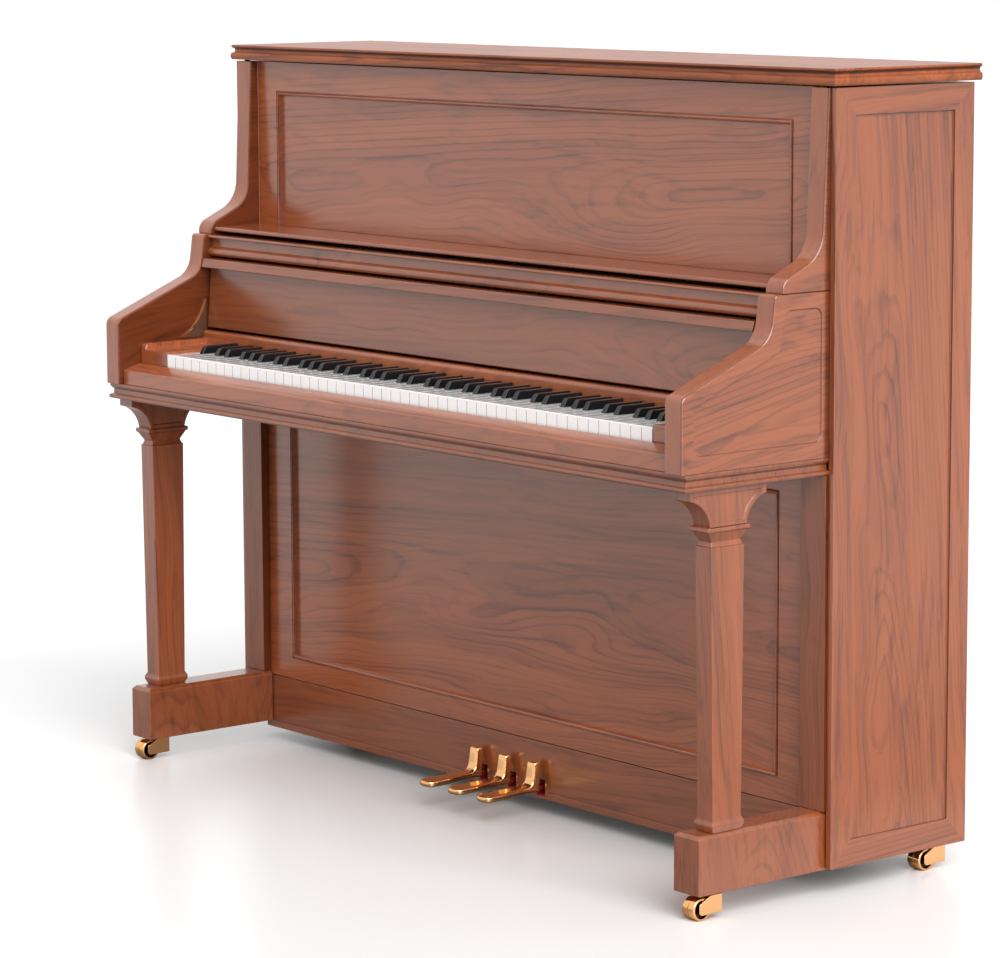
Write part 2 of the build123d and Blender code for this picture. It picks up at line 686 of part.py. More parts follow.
def hinge_bodies():
    """Case leaf with two knuckles and the pin, and lid leaf with the middle knuckle."""
    third = HINGE_LENGTH / 3
    case_leaves = []
    lid_leaves = []
    for x in hinge_places():
        x0 = x - HINGE_LENGTH / 2
        x1 = x + HINGE_LENGTH / 2
        inner0 = x0 + third + SEAT
        inner1 = x1 - third - SEAT
        leaf_front = CASE_BACK - HINGE_LEAF_DEPTH
        leaf_back = CASE_BACK - SEAT
        fixed = block(x0, x1, leaf_front, leaf_back, BEAM_TOP, BEAM_TOP + HINGE_LEAF)
        for a, b in ((x0, x0 + third), (x1 - third, x1)):
            fixed += block(a, b, leaf_back - CUT, HINGE_Y, BEAM_TOP + SEAT, BEAM_TOP + HINGE_LEAF)
            fixed += rod_x(HINGE_BARREL, a, b, HINGE_Y, HINGE_Z)
        fixed += rod_x(HINGE_PIN, x0, x1, HINGE_Y, HINGE_Z)
        case_leaves.append(fixed)
        swing = block(x0, x1, leaf_front, leaf_back, LID_BOTTOM - HINGE_LEAF, LID_BOTTOM)
        swing += block(inner0, inner1, leaf_back - CUT, HINGE_Y, LID_BOTTOM - HINGE_LEAF, LID_BOTTOM - SEAT)
        swing += rod_x(HINGE_BARREL, inner0, inner1, HINGE_Y, HINGE_Z)
        swing -= rod_x(HINGE_PIN + PIN_CLEARANCE, inner0 - CUT, inner1 + CUT, HINGE_Y, HINGE_Z)
        lid_leaves.append(swing)
    return case_leaves, lid_leaves


def framed_panel(half, z0, z1, front, thick, side, top, bottom):
    """Panel with a raised frame, a bead step and a sunk field. A bottom of 0 leaves that edge open."""
    panel = block(-half, half, front, front + thick, z0, z1)
    for inset, sink in ((0.0, BEAD_SINK), (BEAD_WIDTH, FIELD_SINK)):
        low = z0 + bottom + inset if bottom else z0 - CUT
        edge = half - side - inset
        panel -= block(-edge, edge, front - CUT, front + sink, low, z1 - top - inset)
    return panel


def bottom_rail():
    """Rail behind the pedals with one slot for each pedal and a plinth line."""
    rail = block(-INSIDE, INSIDE, KNEE_FRONT, KNEE_FRONT + KNEE_THICK, RAIL_FOOT, KNEE_BOTTOM - PANEL_GAP)
    half_slot = PEDAL_BAR / 2 + SLOT_SIDE
    for x in pedal_places():
        rail -= block(
            x - half_slot, x + half_slot, KNEE_FRONT - CUT, KNEE_FRONT + KNEE_THICK + CUT,
            PEDAL_AXIS_Z - SLOT_HALF, PEDAL_AXIS_Z + SLOT_HALF,
        )
    line = RAIL_FOOT + PLINTH_LINE
    for x0, x1 in zip([-INSIDE - CUT] + [x + half_slot for x in pedal_places()],
                      [x - half_slot for x in pedal_places()] + [INSIDE + CUT]):
        rail -= block(x0, x1, KNEE_FRONT - CUT, KNEE_FRONT + GROOVE, line, line + GROOVE)
    return rail


def key_bed_moulding():
    """Cove-and-bead band under the arms, mitred round the front and both ends."""
    half = ARM_OUT + MOULD_PROUD
    bulge = MOULD_BEAD * 2 / 7
    brow = MOULD_LIP / 4
    bead_top = BED_BOTTOM + MOULD_BEAD
    lip_low = ARM_BOTTOM - MOULD_LIP * 2 / 3
    hollow_top = ARM_BOTTOM - MOULD_LIP * 5 / 3

    def edge_run(edge, inward):
        """Band edge from the bottom up: bead, hollow, small round under the arm."""
        deep = edge + inward * MOULD_COVE
        round_mid = (edge + inward * (brow + MOULD_COVE) * 0.43, (hollow_top + lip_low) / 2 - brow * 0.13)
        return [
            ThreePointArc(
                (edge + inward * bulge, BED_BOTTOM), (edge, BED_BOTTOM + MOULD_BEAD / 2),
                (edge + inward * bulge, bead_top),
            ),
            Line((edge + inward * bulge, bead_top), (deep, bead_top + brow)),
            Line((deep, bead_top + brow), (deep, hollow_top)),
            ThreePointArc((deep, hollow_top), round_mid, (edge + inward * brow, lip_low)),
            Line((edge + inward * brow, lip_low), (edge + inward * brow, ARM_BOTTOM)),
        ]

    front = edge_run(MOULD_FRONT, 1)
    front += [
        Line((MOULD_FRONT + brow, ARM_BOTTOM), (SIDE_FRONT, ARM_BOTTOM)),
        Line((SIDE_FRONT, ARM_BOTTOM), (SIDE_FRONT, BED_BOTTOM)),
        Line((SIDE_FRONT, BED_BOTTOM), (MOULD_FRONT + bulge, BED_BOTTOM)),
    ]
    ends = edge_run(-half, 1) + edge_run(half, -1)
    ends += [
        Line((-half + brow, ARM_BOTTOM), (half - brow, ARM_BOTTOM)),
        Line((-half + bulge, BED_BOTTOM), (half - bulge, BED_BOTTOM)),
    ]
    band = along_x(make_face(front), -half, half) & along_y(make_face(ends), MOULD_FRONT, SIDE_FRONT)
    return band - block(-ARM_IN, ARM_IN, BED_FRONT, SIDE_FRONT + CUT, BED_BOTTOM - CUT, ARM_BOTTOM + CUT)


def key_slip():
    """Long strip in front of the keys, its top falling away to the front."""
    face = outline(
        [
            (SLIP_FRONT, ARM_BOTTOM), (SLIP_BACK, ARM_BOTTOM), (SLIP_BACK, ARM_BOTTOM + SLIP_HEIGHT),
            (SLIP_FRONT, ARM_BOTTOM + SLIP_HEIGHT - SLIP_FALL),
        ],
        [0, 0, SLIP_BACK_ROUND, SLIP_FRONT_ROUND],
    )
    return along_x(face, -INSIDE, INSIDE)


def key_surround():
    """Key blocks at both ends with their ledges, and the strip behind the black keys with its apron."""
    side = KEYS_HALF + KEY_GAP
    body = along_x(
        outline(
            [
                (WHITE_FRONT, ARM_BOTTOM), (STRIP_BACK, ARM_BOTTOM), (STRIP_BACK, STRIP_BOTTOM),
                (STRIP_FRONT, STRIP_BOTTOM), (STRIP_FRONT, BLOCK_TOP), (WHITE_FRONT, BLOCK_TOP),
            ],
            [0, 0, 0, 0, 0, BLOCK_ROUND],
        ),
        side, INSIDE,
    )
    ledge_face = outline(
        [
            (WHITE_FRONT, ARM_BOTTOM), (STRIP_FRONT, ARM_BOTTOM), (STRIP_FRONT, BLOCK_TOP + LEDGE_RISE),
            (WHITE_FRONT, BLOCK_TOP + LEDGE_RISE),
        ],
        [0, 0, 0, LEDGE_ROUND],
    )
    body += along_x(ledge_face, INSIDE - LEDGE_WIDTH, INSIDE)
    strip = block(-FALL_HALF, FALL_HALF, STRIP_FRONT, STRIP_BACK, STRIP_BOTTOM, STRIP_TOP)
    strip = fillet(strip.edges().filter_by(Axis.X).group_by(Axis.Y)[0].group_by(Axis.Z)[-1], STRIP_ROUND)
    apron_back = STRIP_FRONT + APRON_THICK
    strip += block(
        SEAT - side, side - SEAT, STRIP_FRONT, apron_back, WHITE_TOP + APRON_GAP, STRIP_BOTTOM + CUT,
    )
    return [body, bass(body), strip]


def fallboard():
    """Key lid standing open: leaning board with a lip along its top, and a pin at each end."""
    lean = (FALL_FRONT_HIGH - FALL_FRONT_LOW) / (FALL_TOP - LIP_HEIGHT - FALL_BOTTOM)
    lip_bottom = FALL_TOP - LIP_HEIGHT
    top_front = FALL_FRONT_LOW + lean * (FALL_TOP - FALL_BOTTOM)
    corner = FALL_THICK * 0.45
    face = outline(
        [
            (FALL_FRONT_LOW, FALL_BOTTOM), (FALL_FRONT_LOW + FALL_THICK, FALL_BOTTOM),
            (top_front + FALL_THICK, FALL_TOP), (top_front - LIP_REACH + LIP_TAPER, FALL_TOP),
            (FALL_FRONT_HIGH - LIP_REACH, lip_bottom), (FALL_FRONT_HIGH, lip_bottom),
        ],
        [FALL_EDGE_ROUND, corner, LIP_TAPER, LIP_TAPER * 2 / 3, LIP_TAPER / 2, 0],
    )
    board = along_x(face, -FALL_HALF, FALL_HALF)
    reach = ARM_IN + FALL_PIN_DEPTH
    return board + rod_x(FALL_PIN, -reach, reach, FALL_AXIS_Y, FALL_AXIS_Z)


def end_plate():
    """Thin hollow-curved guard on the arm, in front of the fallboard's end."""
    foot = max(STRIP_BOTTOM, BLOCK_TOP + LEDGE_RISE) + SEAT
    back = FALL_FRONT_LOW - FALL_END_GAP
    face = make_face([
        Line((back, foot), (back, END_PLATE_TOP)),
        SagittaArc((back, END_PLATE_TOP), (END_PLATE_FRONT, foot), END_PLATE_SAG),
        Line((END_PLATE_FRONT, foot), (back, foot)),
    ])
    return along_x(face, ARM_IN - END_PLATE, ARM_IN)


def fallboard_rail():
    """Fixed rail over the fallboard: top bead, flat, and a full round along the bottom."""
    flat = RAIL_FRONT + RAIL_BULGE
    bead = RAIL_BEAD * 0.4
    step = RAIL_BOTTOM + RAIL_HEIGHT / 2 - RAIL_BEAD * 0.6
    face = make_face([
        Line((RAIL_BACK, RAIL_BOTTOM), (flat, RAIL_BOTTOM)),
        ThreePointArc(
            (flat, RAIL_BOTTOM), (RAIL_FRONT, (RAIL_BOTTOM + step) / 2 - bead * 0.2), (flat - bead, step),
        ),
        Line((flat - bead, step), (flat, step + bead)),
        Line((flat, step + bead), (flat, RAIL_TOP - RAIL_BEAD)),
        Line((flat, RAIL_TOP - RAIL_BEAD), (RAIL_FRONT + bead, RAIL_TOP - RAIL_BEAD)),
        ThreePointArc(
            (RAIL_FRONT + bead, RAIL_TOP - RAIL_BEAD), (RAIL_FRONT, RAIL_TOP - RAIL_BEAD / 2),
            (RAIL_FRONT + bead, RAIL_TOP),
        ),
        Line((RAIL_FRONT + bead, RAIL_TOP), (RAIL_BACK, RAIL_TOP)),
        Line((RAIL_BACK, RAIL_TOP), (RAIL_BACK, RAIL_BOTTOM)),
    ])
    return along_x(face, -INSIDE, INSIDE)


def music_shelf():
    """Shelf for sheet music with a rounded front edge."""
    shelf = block(-INSIDE, INSIDE, SHELF_FRONT, UPPER_FRONT, SHELF_TOP - SHELF_THICK, SHELF_TOP)
    return fillet(shelf.edges().filter_by(Axis.X).group_by(Axis.Y)[0], SHELF_THICK * 0.4)


def key_layout():
    """Name, white slot number and kind of each of the keys, from the lowest note up."""
    keys = []
    white = 0
    index = 0
    while white < WHITE_COUNT:
        name = KEY_NAMES[index % len(KEY_NAMES)]
        if name in BLACK_SHIFT:
            keys.append((name, white, True))
        else:
            keys.append((name, white, False))
            white += 1
        index += 1
    return keys


def white_edge(slot):
    """X of the line between white slot - 1 and white slot."""
    return -KEYS_HALF + slot * WHITE_PITCH


def black_centre(name, slot):
    """X of a black key's middle: it straddles the line before its slot."""
    return white_edge(slot) + BLACK_SHIFT[name]


def black_key(x):
    """Stick with a raised cap, bevelled in front."""
    half = BLACK_WIDTH / 2
    stick = block(x - half, x + half, BLACK_FRONT, KEY_BACK, KEY_BOTTOM, WHITE_TOP - BLACK_SUNK)
    cap_back = STRIP_FRONT - BLACK_TAIL_GAP
    face = outline(
        [
            (BLACK_FRONT, WHITE_TOP - BLACK_SUNK), (cap_back, WHITE_TOP - BLACK_SUNK), (cap_back, BLACK_TOP),
            (BLACK_FRONT + BLACK_BEVEL, BLACK_TOP),
        ],
        [0, 0, 0, BLACK_ROUND],
    )
    cap = along_x(face, x - half, x + half)
    long_edges = cap.edges().filter_by(Axis.Y).group_by(Axis.Z)[-1]
    return stick + chamfer(long_edges, KEY_ROUND)


def white_key(slot, left_black, right_black):
    """Full-width head and a tail cut back beside the black keys."""
    x0 = white_edge(slot) + KEY_GAP / 2
    x1 = white_edge(slot + 1) - KEY_GAP / 2
    side = BLACK_WIDTH / 2 + KEY_GAP
    tail0 = x0 if left_black is None else left_black + side
    tail1 = x1 if right_black is None else right_black - side
    notch = BLACK_FRONT - KEY_GAP
    points = [(x0, WHITE_FRONT), (x1, WHITE_FRONT)]
    points += [(x1, KEY_BACK)] if right_black is None else [(x1, notch), (tail1, notch), (tail1, KEY_BACK)]
    points += [(x0, KEY_BACK)] if left_black is None else [(tail0, KEY_BACK), (tail0, notch), (x0, notch)]
    key = along_z(outline(points), KEY_BOTTOM, WHITE_TOP)
    front_edge = key.edges().filter_by(Axis.X).group_by(Axis.Y)[0].group_by(Axis.Z)[-1]
    return fillet(front_edge, KEY_ROUND)


def keys_by_name():
    """All keys, gathered under their note names."""
    layout = key_layout()
    blacks = {slot: black_centre(name, slot) for name, slot, is_black in layout if is_black and slot > 0}
    groups = {name: [] for name in KEY_NAMES}
    for name, slot, is_black in layout:
        if is_black:
            groups[name].append(black_key(blacks[slot]))
        else:
            groups[name].append(white_key(slot, blacks.get(slot), blacks.get(slot + 1)))
    return groups


def key_frame():
    """Front, balance and back rails with two cross bars, lying on the key bed."""
    half = KEYS_HALF - FRAME_INSET
    front = WHITE_FRONT + FRAME_FRONT
    back = KEY_BACK - FRAME_BACK
    rail_top = KEY_BOTTOM - SEAT
    frame = block(-half, half, front, front + RAIL_WIDTH, ARM_BOTTOM, KEY_BOTTOM - KEY_DIP_ROOM)
    frame += block(
        -half, half, BALANCE_Y - RAIL_WIDTH / 2, BALANCE_Y + RAIL_WIDTH / 2,
        ARM_BOTTOM, KEY_BOTTOM - BALANCE_ROOM,
    )
    frame += block(
        -half, half, BALANCE_Y - BALANCE_RIDGE / 2, BALANCE_Y + BALANCE_RIDGE / 2, ARM_BOTTOM, rail_top,
    )
    frame += block(-half, half, back - RAIL_WIDTH, back, ARM_BOTTOM, rail_top)
    for x in (-half * 0.9, half * 0.9):
        frame += block(
            x - FRAME_BAR / 2, x + FRAME_BAR / 2, front, back, ARM_BOTTOM, ARM_BOTTOM + FRAME_BAR_THICK,
        )
    return frame


def note_x(note):
    """X of a note's hammer, evenly spread over the keyboard."""
    return -KEYS_HALF + (note + 0.5) * 2 * KEYS_HALF / NOTE_COUNT


def hammer_rest_y(z):
    """Front of the hammer shanks at a height, at rest."""
    share = (z - HAMMER_AXIS_Z) / (HAMMER_TOP - HAMMER_AXIS_Z)
    return HAMMER_AXIS_Y - HAMMER_LEAN * share - HAMMER_SHANK


def hammer():
    """Butt, shank and felt head of one hammer at X = 0."""
    half = HAMMER_WIDTH / 2
    tip_y = HAMMER_AXIS_Y - HAMMER_LEAN
    butt = block(
        -half, half, HAMMER_AXIS_Y - HAMMER_BUTT, HAMMER_AXIS_Y + HAMMER_BUTT,
        HAMMER_AXIS_Z - HAMMER_BUTT, HAMMER_AXIS_Z + HAMMER_BUTT_RISE,
    )
    shank = along_x(
        outline([
            (HAMMER_AXIS_Y - HAMMER_SHANK, HAMMER_AXIS_Z), (HAMMER_AXIS_Y + HAMMER_SHANK, HAMMER_AXIS_Z),
            (tip_y + HAMMER_SHANK, HAMMER_TOP), (tip_y - HAMMER_SHANK, HAMMER_TOP),
        ]),
        -half * 0.6, half * 0.6,
    )
    crown = HAMMER_HEAD / 7
    head = along_x(
        outline(
            [
                (tip_y - HAMMER_HEAD, HAMMER_TOP - 3 * crown), (tip_y + HAMMER_HEAD, HAMMER_TOP - 6 * crown),
                (tip_y + HAMMER_FELT, HAMMER_TOP + crown), (tip_y + HAMMER_HEAD, HAMMER_TOP + 8 * crown),
                (tip_y - HAMMER_HEAD, HAMMER_TOP + 5 * crown),
            ],
            [0, 2 * crown, 3 * crown, 2 * crown, 0],
        ),
        -half, half,
    )
    pin = rod_x(CENTRE_PIN + PIN_CLEARANCE, -half - CUT, half + CUT, HAMMER_AXIS_Y, HAMMER_AXIS_Z)
    return butt + shank + head - pin


def damper(string_front):
    """Lever, wire and felt of one damper at X = 0, its felt just off the string."""
    half = DAMPER_WIDTH / 2
    front = DAMPER_AXIS_Y - DAMPER_HALF_DEPTH
    back = DAMPER_AXIS_Y + DAMPER_HALF_DEPTH
    wire = DAMPER_AXIS_Y - DAMPER_HALF_DEPTH / 5
    foot = DAMPER_AXIS_Z - DAMPER_BLOCK / 2
    block_top = DAMPER_AXIS_Z + DAMPER_BLOCK
    head = DAMPER_TOP - DAMPER_HEAD
    face = outline([
        (front, foot), (back, foot), (back, head), (string_front - SEAT, head),
        (string_front - SEAT, DAMPER_TOP), (wire, DAMPER_TOP), (wire, block_top), (front, block_top),
    ])
    lever = along_x(face, -half, half)
    return lever - rod_x(CENTRE_PIN + PIN_CLEARANCE, -half - CUT, half + CUT, DAMPER_AXIS_Y, DAMPER_AXIS_Z)


def action_frame():
    """End brackets on the key bed, hammer and damper centre pins, and the hammer rest rail."""
    rest_z = (HAMMER_AXIS_Z + HAMMER_TOP) / 2 + REST_RISE
    rest_top = rest_z + REST_SIZE / 2
    rest_back = hammer_rest_y(rest_top) - REST_GAP
    plate_front = rest_back - ACTION_SHOULDER
    plate_back = BASS_WIRE_Y - BASS_WIRE - ACTION_GAP
    plate_top = MUFFLER_BOTTOM + 3 * MUFFLER_FELT
    foot_front = KEY_BACK + ACTION_FOOT
    foot_back = BED_BACK - CUT
    shoulder = DAMPER_AXIS_Z - ACTION_SHOULDER
    plate = along_x(
        outline([
            (foot_front, ARM_BOTTOM), (foot_back, ARM_BOTTOM), (foot_back, shoulder - ACTION_SHOULDER),
            (plate_back, shoulder), (plate_back, plate_top), (plate_front, plate_top),
            (plate_front, rest_z - ACTION_SHOULDER), (foot_front, shoulder),
        ]),
        ACTION_HALF, ACTION_HALF + ACTION_PLATE,
    )
    reach = ACTION_HALF + CUT
    frame = plate + bass(plate)
    frame += rod_x(CENTRE_PIN, -reach, reach, HAMMER_AXIS_Y, HAMMER_AXIS_Z)
    frame += rod_x(CENTRE_PIN, -reach, reach, DAMPER_AXIS_Y, DAMPER_AXIS_Z)
    frame += block(-reach, reach, rest_back - REST_SIZE, rest_back, rest_top - REST_SIZE, rest_top)
    return frame


def muffler_rail():
    """Rail with a felt strip that drops between hammers and strings."""
    back = BASS_WIRE_Y - BASS_WIRE - MUFFLER_GAP
    half = ACTION_HALF - SEAT
    felt_half = half - MUFFLER_FELT_INSET
    felt_top = MUFFLER_BOTTOM + MUFFLER_FELT
    rail = block(-half, half, back - MUFFLER_THICK, back, felt_top, felt_top + MUFFLER_FELT)
    felt_back = back - MUFFLER_FELT_THICK / 3
    return rail + block(
        -felt_half, felt_half, felt_back - MUFFLER_FELT_THICK, felt_back, MUFFLER_BOTTOM, felt_top + CUT,
    )


def string_ends():
    """Top and bottom point of each note's string, with its wire radius."""
    ends = []
    for note in range(NOTE_COUNT):
        x = note_x(note)
        row = note % PIN_ROWS
        top_z = PIN_BLOCK_BOTTOM + PIN_ROW_FOOT + row * PIN_ROW_PITCH
        if note < BASS_COUNT:
            foot = (x + BASS_SLANT, BASS_WIRE_Y, PLATE_FOOT + BASS_HITCH * (1 + note / BASS_COUNT))
            ends.append(((x, BASS_WIRE_Y, top_z), foot, BASS_WIRE))
        else:
            share = (note - BASS_COUNT) / (NOTE_COUNT - BASS_COUNT)
            foot = (x, TENOR_WIRE_Y, PLATE_HITCH - HITCH_INSET - HITCH_SPREAD * (1 - share))
            ends.append(((x, TENOR_WIRE_Y, top_z), foot, TENOR_WIRE))
    return ends


def bass_band_end(z):
    """X of the last bass wire where it crosses a height."""
    top, foot, radius = string_ends()[BASS_COUNT - 1]
    return top[0] + (foot[0] - top[0]) * (top[2] - z) / (top[2] - foot[2]) + radius


def strings():
    """One wire for each note, the bass wires crossing over in front."""
    wires = []
    for top, foot, radius in string_ends():
        run = Vector(*top) - Vector(*foot)
        wires.append(Solid.make_cylinder(radius, run.length, Plane(foot, z_dir=run)))
    return wires


def tuning_pins():
    """One pin for each string, standing out of the plate beside the wire."""
    pins = []
    for top, foot, radius in string_ends():
        run = Vector(*top) - Vector(*foot)
        x = top[0] + (radius + TUNING_PIN + SEAT) * run.length / run.Z
        length = PLATE_FRONT - top[1] + PIN_REACH
        seat = Plane((x, PLATE_FRONT, top[2]), z_dir=(0, -1, 0))
        pins.append(Solid.make_cylinder(TUNING_PIN, length, seat))
    return pins


def strut_places():
    """Middle of each bar of the iron plate along X."""
    span = 2 * PIN_BLOCK_HALF - STRUT_WIDTH
    return [-span / 2 + span * index / (STRUT_COUNT - 1) for index in range(STRUT_COUNT)]


def iron_plate():
    """Cast plate: pin-block web, hitch web, and upright bars between them."""
    back = PIN_BLOCK_FRONT
    plate = block(-PIN_BLOCK_HALF, PIN_BLOCK_HALF, PLATE_FRONT, back, PIN_BLOCK_BOTTOM, PIN_BLOCK_TOP)
    plate += block(-PIN_BLOCK_HALF, PIN_BLOCK_HALF, PLATE_FRONT, back, PLATE_FOOT, PLATE_HITCH)
    for x in strut_places():
        plate += block(
            x - STRUT_WIDTH / 2, x + STRUT_WIDTH / 2, PLATE_FRONT, back,
            PLATE_HITCH - CUT, PIN_BLOCK_BOTTOM + CUT,
        )
    return plate


def soundboard():
    """Thin board with bridge pieces in the plate's bays in front and slanting ribs behind."""
    low = SIDE_BOTTOM + BEAM_HEIGHT
    board = block(-INSIDE, INSIDE, SOUND_FRONT, SOUND_BACK, low, PIN_BLOCK_BOTTOM)
    solids = [board]
    places = strut_places()
    for index in range(len(places) - 1):
        x0 = places[index] + STRUT_WIDTH / 2 + BRIDGE_END
        x1 = places[index + 1] - STRUT_WIDTH / 2 - BRIDGE_END
        z = PLATE_HITCH + BRIDGE_FOOT + BRIDGE_STEP * index
        bridge_front = TENOR_WIRE_Y + TENOR_WIRE + BRIDGE_GAP
        solids.append(block(x0, x1, bridge_front, SOUND_FRONT, z, z + BRIDGE_HEIGHT))
    rib = Box(RIB_WIDTH, RIB_DEPTH, PIN_BLOCK_BOTTOM - low - 2 * RIB_END)
    for index in range(RIB_COUNT):
        x = (index - (RIB_COUNT - 1) / 2) * RIB_PITCH
        z = (low + PIN_BLOCK_BOTTOM) / 2
        solids.append(Pos(x, SOUND_BACK + RIB_DEPTH / 2, z) * Rot(0, RIB_LEAN, 0) * rib)
    return solids


def back_frame():
    """Bottom and top beams with upright posts between them."""
    low = SIDE_BOTTOM + BEAM_HEIGHT
    high = BEAM_TOP - BEAM_HEIGHT
    solids = [
        block(-ARM_IN, ARM_IN, POSTS_FRONT, CASE_BACK, SIDE_BOTTOM, low),
        block(-ARM_IN, ARM_IN, POSTS_FRONT, CASE_BACK, high, BEAM_TOP),
    ]
    for index in range(POST_COUNT):
        x = (index - (POST_COUNT - 1) / 2) * POST_PITCH
        solids.append(block(x - POST_WIDTH / 2, x + POST_WIDTH / 2, POSTS_FRONT, CASE_BACK, low, high))
    return solids


def pedal_places():
    """X of the left, middle and right pedal."""
    return [PEDAL_MIDDLE_X + step * PEDAL_PITCH for step in (-1, 0, 1)]


def pedal(x):
    """Brass pedal: shoe-shaped tongue, upright neck, and the lever behind it."""
    bar_low = PEDAL_AXIS_Z - PEDAL_BAR / 2
    bar_high = PEDAL_AXIS_Z + PEDAL_BAR / 2
    neck_back = PEDAL_NECK_FRONT + PEDAL_NECK_DEPTH
    heel = bar_high - PEDAL_TONGUE
    tip = heel - PEDAL_TIP_DROP
    tongue_round = PEDAL_TONGUE * 3 / 8
    side_view = outline(
        [
            (PEDAL_TIP, tip), (neck_back, heel), (neck_back, PEDAL_NECK_TOP),
            (PEDAL_NECK_FRONT, PEDAL_NECK_TOP), (PEDAL_NECK_FRONT, bar_high), (PEDAL_TIP, tip + PEDAL_TONGUE),
        ],
        [tongue_round, 0, PEDAL_BAR / 2, PEDAL_BAR / 3, PEDAL_TONGUE - CUT, tongue_round],
    )
    tip_half = PEDAL_TIP_WIDTH / 2
    heel_half = PEDAL_HEEL_WIDTH / 2
    heel_end = PEDAL_NECK_FRONT - PEDAL_HEEL_LENGTH
    tip_start = PEDAL_TIP + PEDAL_TIP_LENGTH
    sweep = PEDAL_TIP_LENGTH * 7 / 15
    tip_round = PEDAL_TIP_WIDTH * 0.4
    plan = outline(
        [
            (x - heel_half, neck_back), (x - heel_half, heel_end), (x - tip_half, tip_start),
            (x - tip_half, PEDAL_TIP), (x + tip_half, PEDAL_TIP), (x + tip_half, tip_start),
            (x + heel_half, heel_end), (x + heel_half, neck_back),
        ],
        [0, sweep, sweep, tip_round, tip_round, sweep, sweep, 0],
    )
    shoe = along_x(side_view, x - tip_half, x + tip_half) & along_z(plan, 0, PEDAL_NECK_TOP + CUT)
    bar = block(x - PEDAL_BAR / 2, x + PEDAL_BAR / 2, neck_back - CUT, PEDAL_BACK, bar_low, bar_high)
    return shoe + bar - rod_x(
        PEDAL_PIN + PIN_CLEARANCE, x - PEDAL_BAR, x + PEDAL_BAR, PEDAL_AXIS_Y, PEDAL_AXIS_Z,
    )


def pedal_stick(x):
    """Upright stick standing on the back of a pedal lever."""
    return rod_z(STICK_RADIUS, x, STICK_Y, PEDAL_AXIS_Z + PEDAL_BAR / 2 + SEAT, STICK_TOP)


def bottom_board():
    """Floor of the case behind the bottom rail, with the blocks and pin that carry the pedals."""
    back = POSTS_FRONT - SEAT
    low = BOTTOM_BOARD_TOP - BOTTOM_BOARD_THICK
    cleat_front = back - CLEAT_FRONT
    board = block(-INSIDE, INSIDE, KNEE_FRONT + KNEE_THICK, cleat_front + CLEAT_LAP, low, BOTTOM_BOARD_TOP)
    cleat = block(-INSIDE, INSIDE, cleat_front, back, BOTTOM_BOARD_TOP, SIDE_BOTTOM + BEAM_HEIGHT / 2)
    places = pedal_places()
    middles = [places[0] - PEDAL_PITCH / 2] + [x + PEDAL_PITCH / 2 for x in places]
    pivots = rod_x(PEDAL_PIN, middles[0], middles[-1], PEDAL_AXIS_Y, PEDAL_AXIS_Z)
    for x in middles:
        pivots += block(
            x - PIVOT_WIDTH / 2, x + PIVOT_WIDTH / 2, PEDAL_AXIS_Y - PIVOT_DEPTH / 2,
            PEDAL_AXIS_Y + PIVOT_DEPTH / 2, BOTTOM_BOARD_TOP, PEDAL_AXIS_Z + PEDAL_PIN + PIVOT_RISE,
        )
    return [board, cleat, pivots]


def caster_wheel(x, y):
    """Brass wheel with a groove round its middle."""
    wheel = rod_x(WHEEL_RADIUS, x - WHEEL_WIDTH / 2, x + WHEEL_WIDTH / 2, y, WHEEL_RADIUS)
    wheel = fillet(wheel.edges(), WHEEL_ROUND)
    groove = WHEEL_GROOVE_WIDTH / 2
    ring = rod_x(WHEEL_RADIUS + CUT, x - groove, x + groove, y, WHEEL_RADIUS)
    ring -= rod_x(WHEEL_RADIUS - WHEEL_GROOVE, x - groove - CUT, x + groove + CUT, y, WHEEL_RADIUS)
    wheel -= ring
    return wheel - rod_x(AXLE_RADIUS + PIN_CLEARANCE, x - WHEEL_WIDTH, x + WHEEL_WIDTH, y, WHEEL_RADIUS)


def caster_fork(x, y):
    """Horn with two cheeks, axle, round top plate and stem."""
    top = TOE_BOTTOM - SEAT
    inner = WHEEL_WIDTH / 2 + SEAT
    outer = inner + CHEEK
    tail = y + CASTER_TRAIL + CHEEK_NOSE
    under = top - CASTER_PLATE * 2 / 3
    heel = WHEEL_RADIUS - CHEEK_NOSE * 7 / 8
    cheek_face = outline(
        [
            (y - CHEEK_NOSE, WHEEL_RADIUS - CHEEK_NOSE), (tail, heel), (tail, under),
            (y + CASTER_TRAIL / 2, under), (y - CHEEK_NOSE, WHEEL_RADIUS + CHEEK_NOSE),
        ],
        [CHEEK_NOSE * 3 / 4, 0, 0, CHEEK_NOSE * 3 / 4, CHEEK_NOSE * 7 / 8],
    )
    fork = along_x(cheek_face, x - outer, x - inner) + along_x(cheek_face, x + inner, x + outer)
    fork += block(x - outer, x + outer, y + WHEEL_RADIUS + CASTER_RISE * 0.4, tail, heel, under)
    stem_y = y + CASTER_TRAIL
    fork += rod_z(outer - CASTER_PLATE * 2 / 3, x, stem_y, top - CASTER_PLATE, top)
    fork += rod_z(STEM_RADIUS, x, stem_y, top - CASTER_PLATE, top + STEM_DEPTH)
    return fork + rod_x(AXLE_RADIUS, x - outer, x + outer, y, WHEEL_RADIUS)


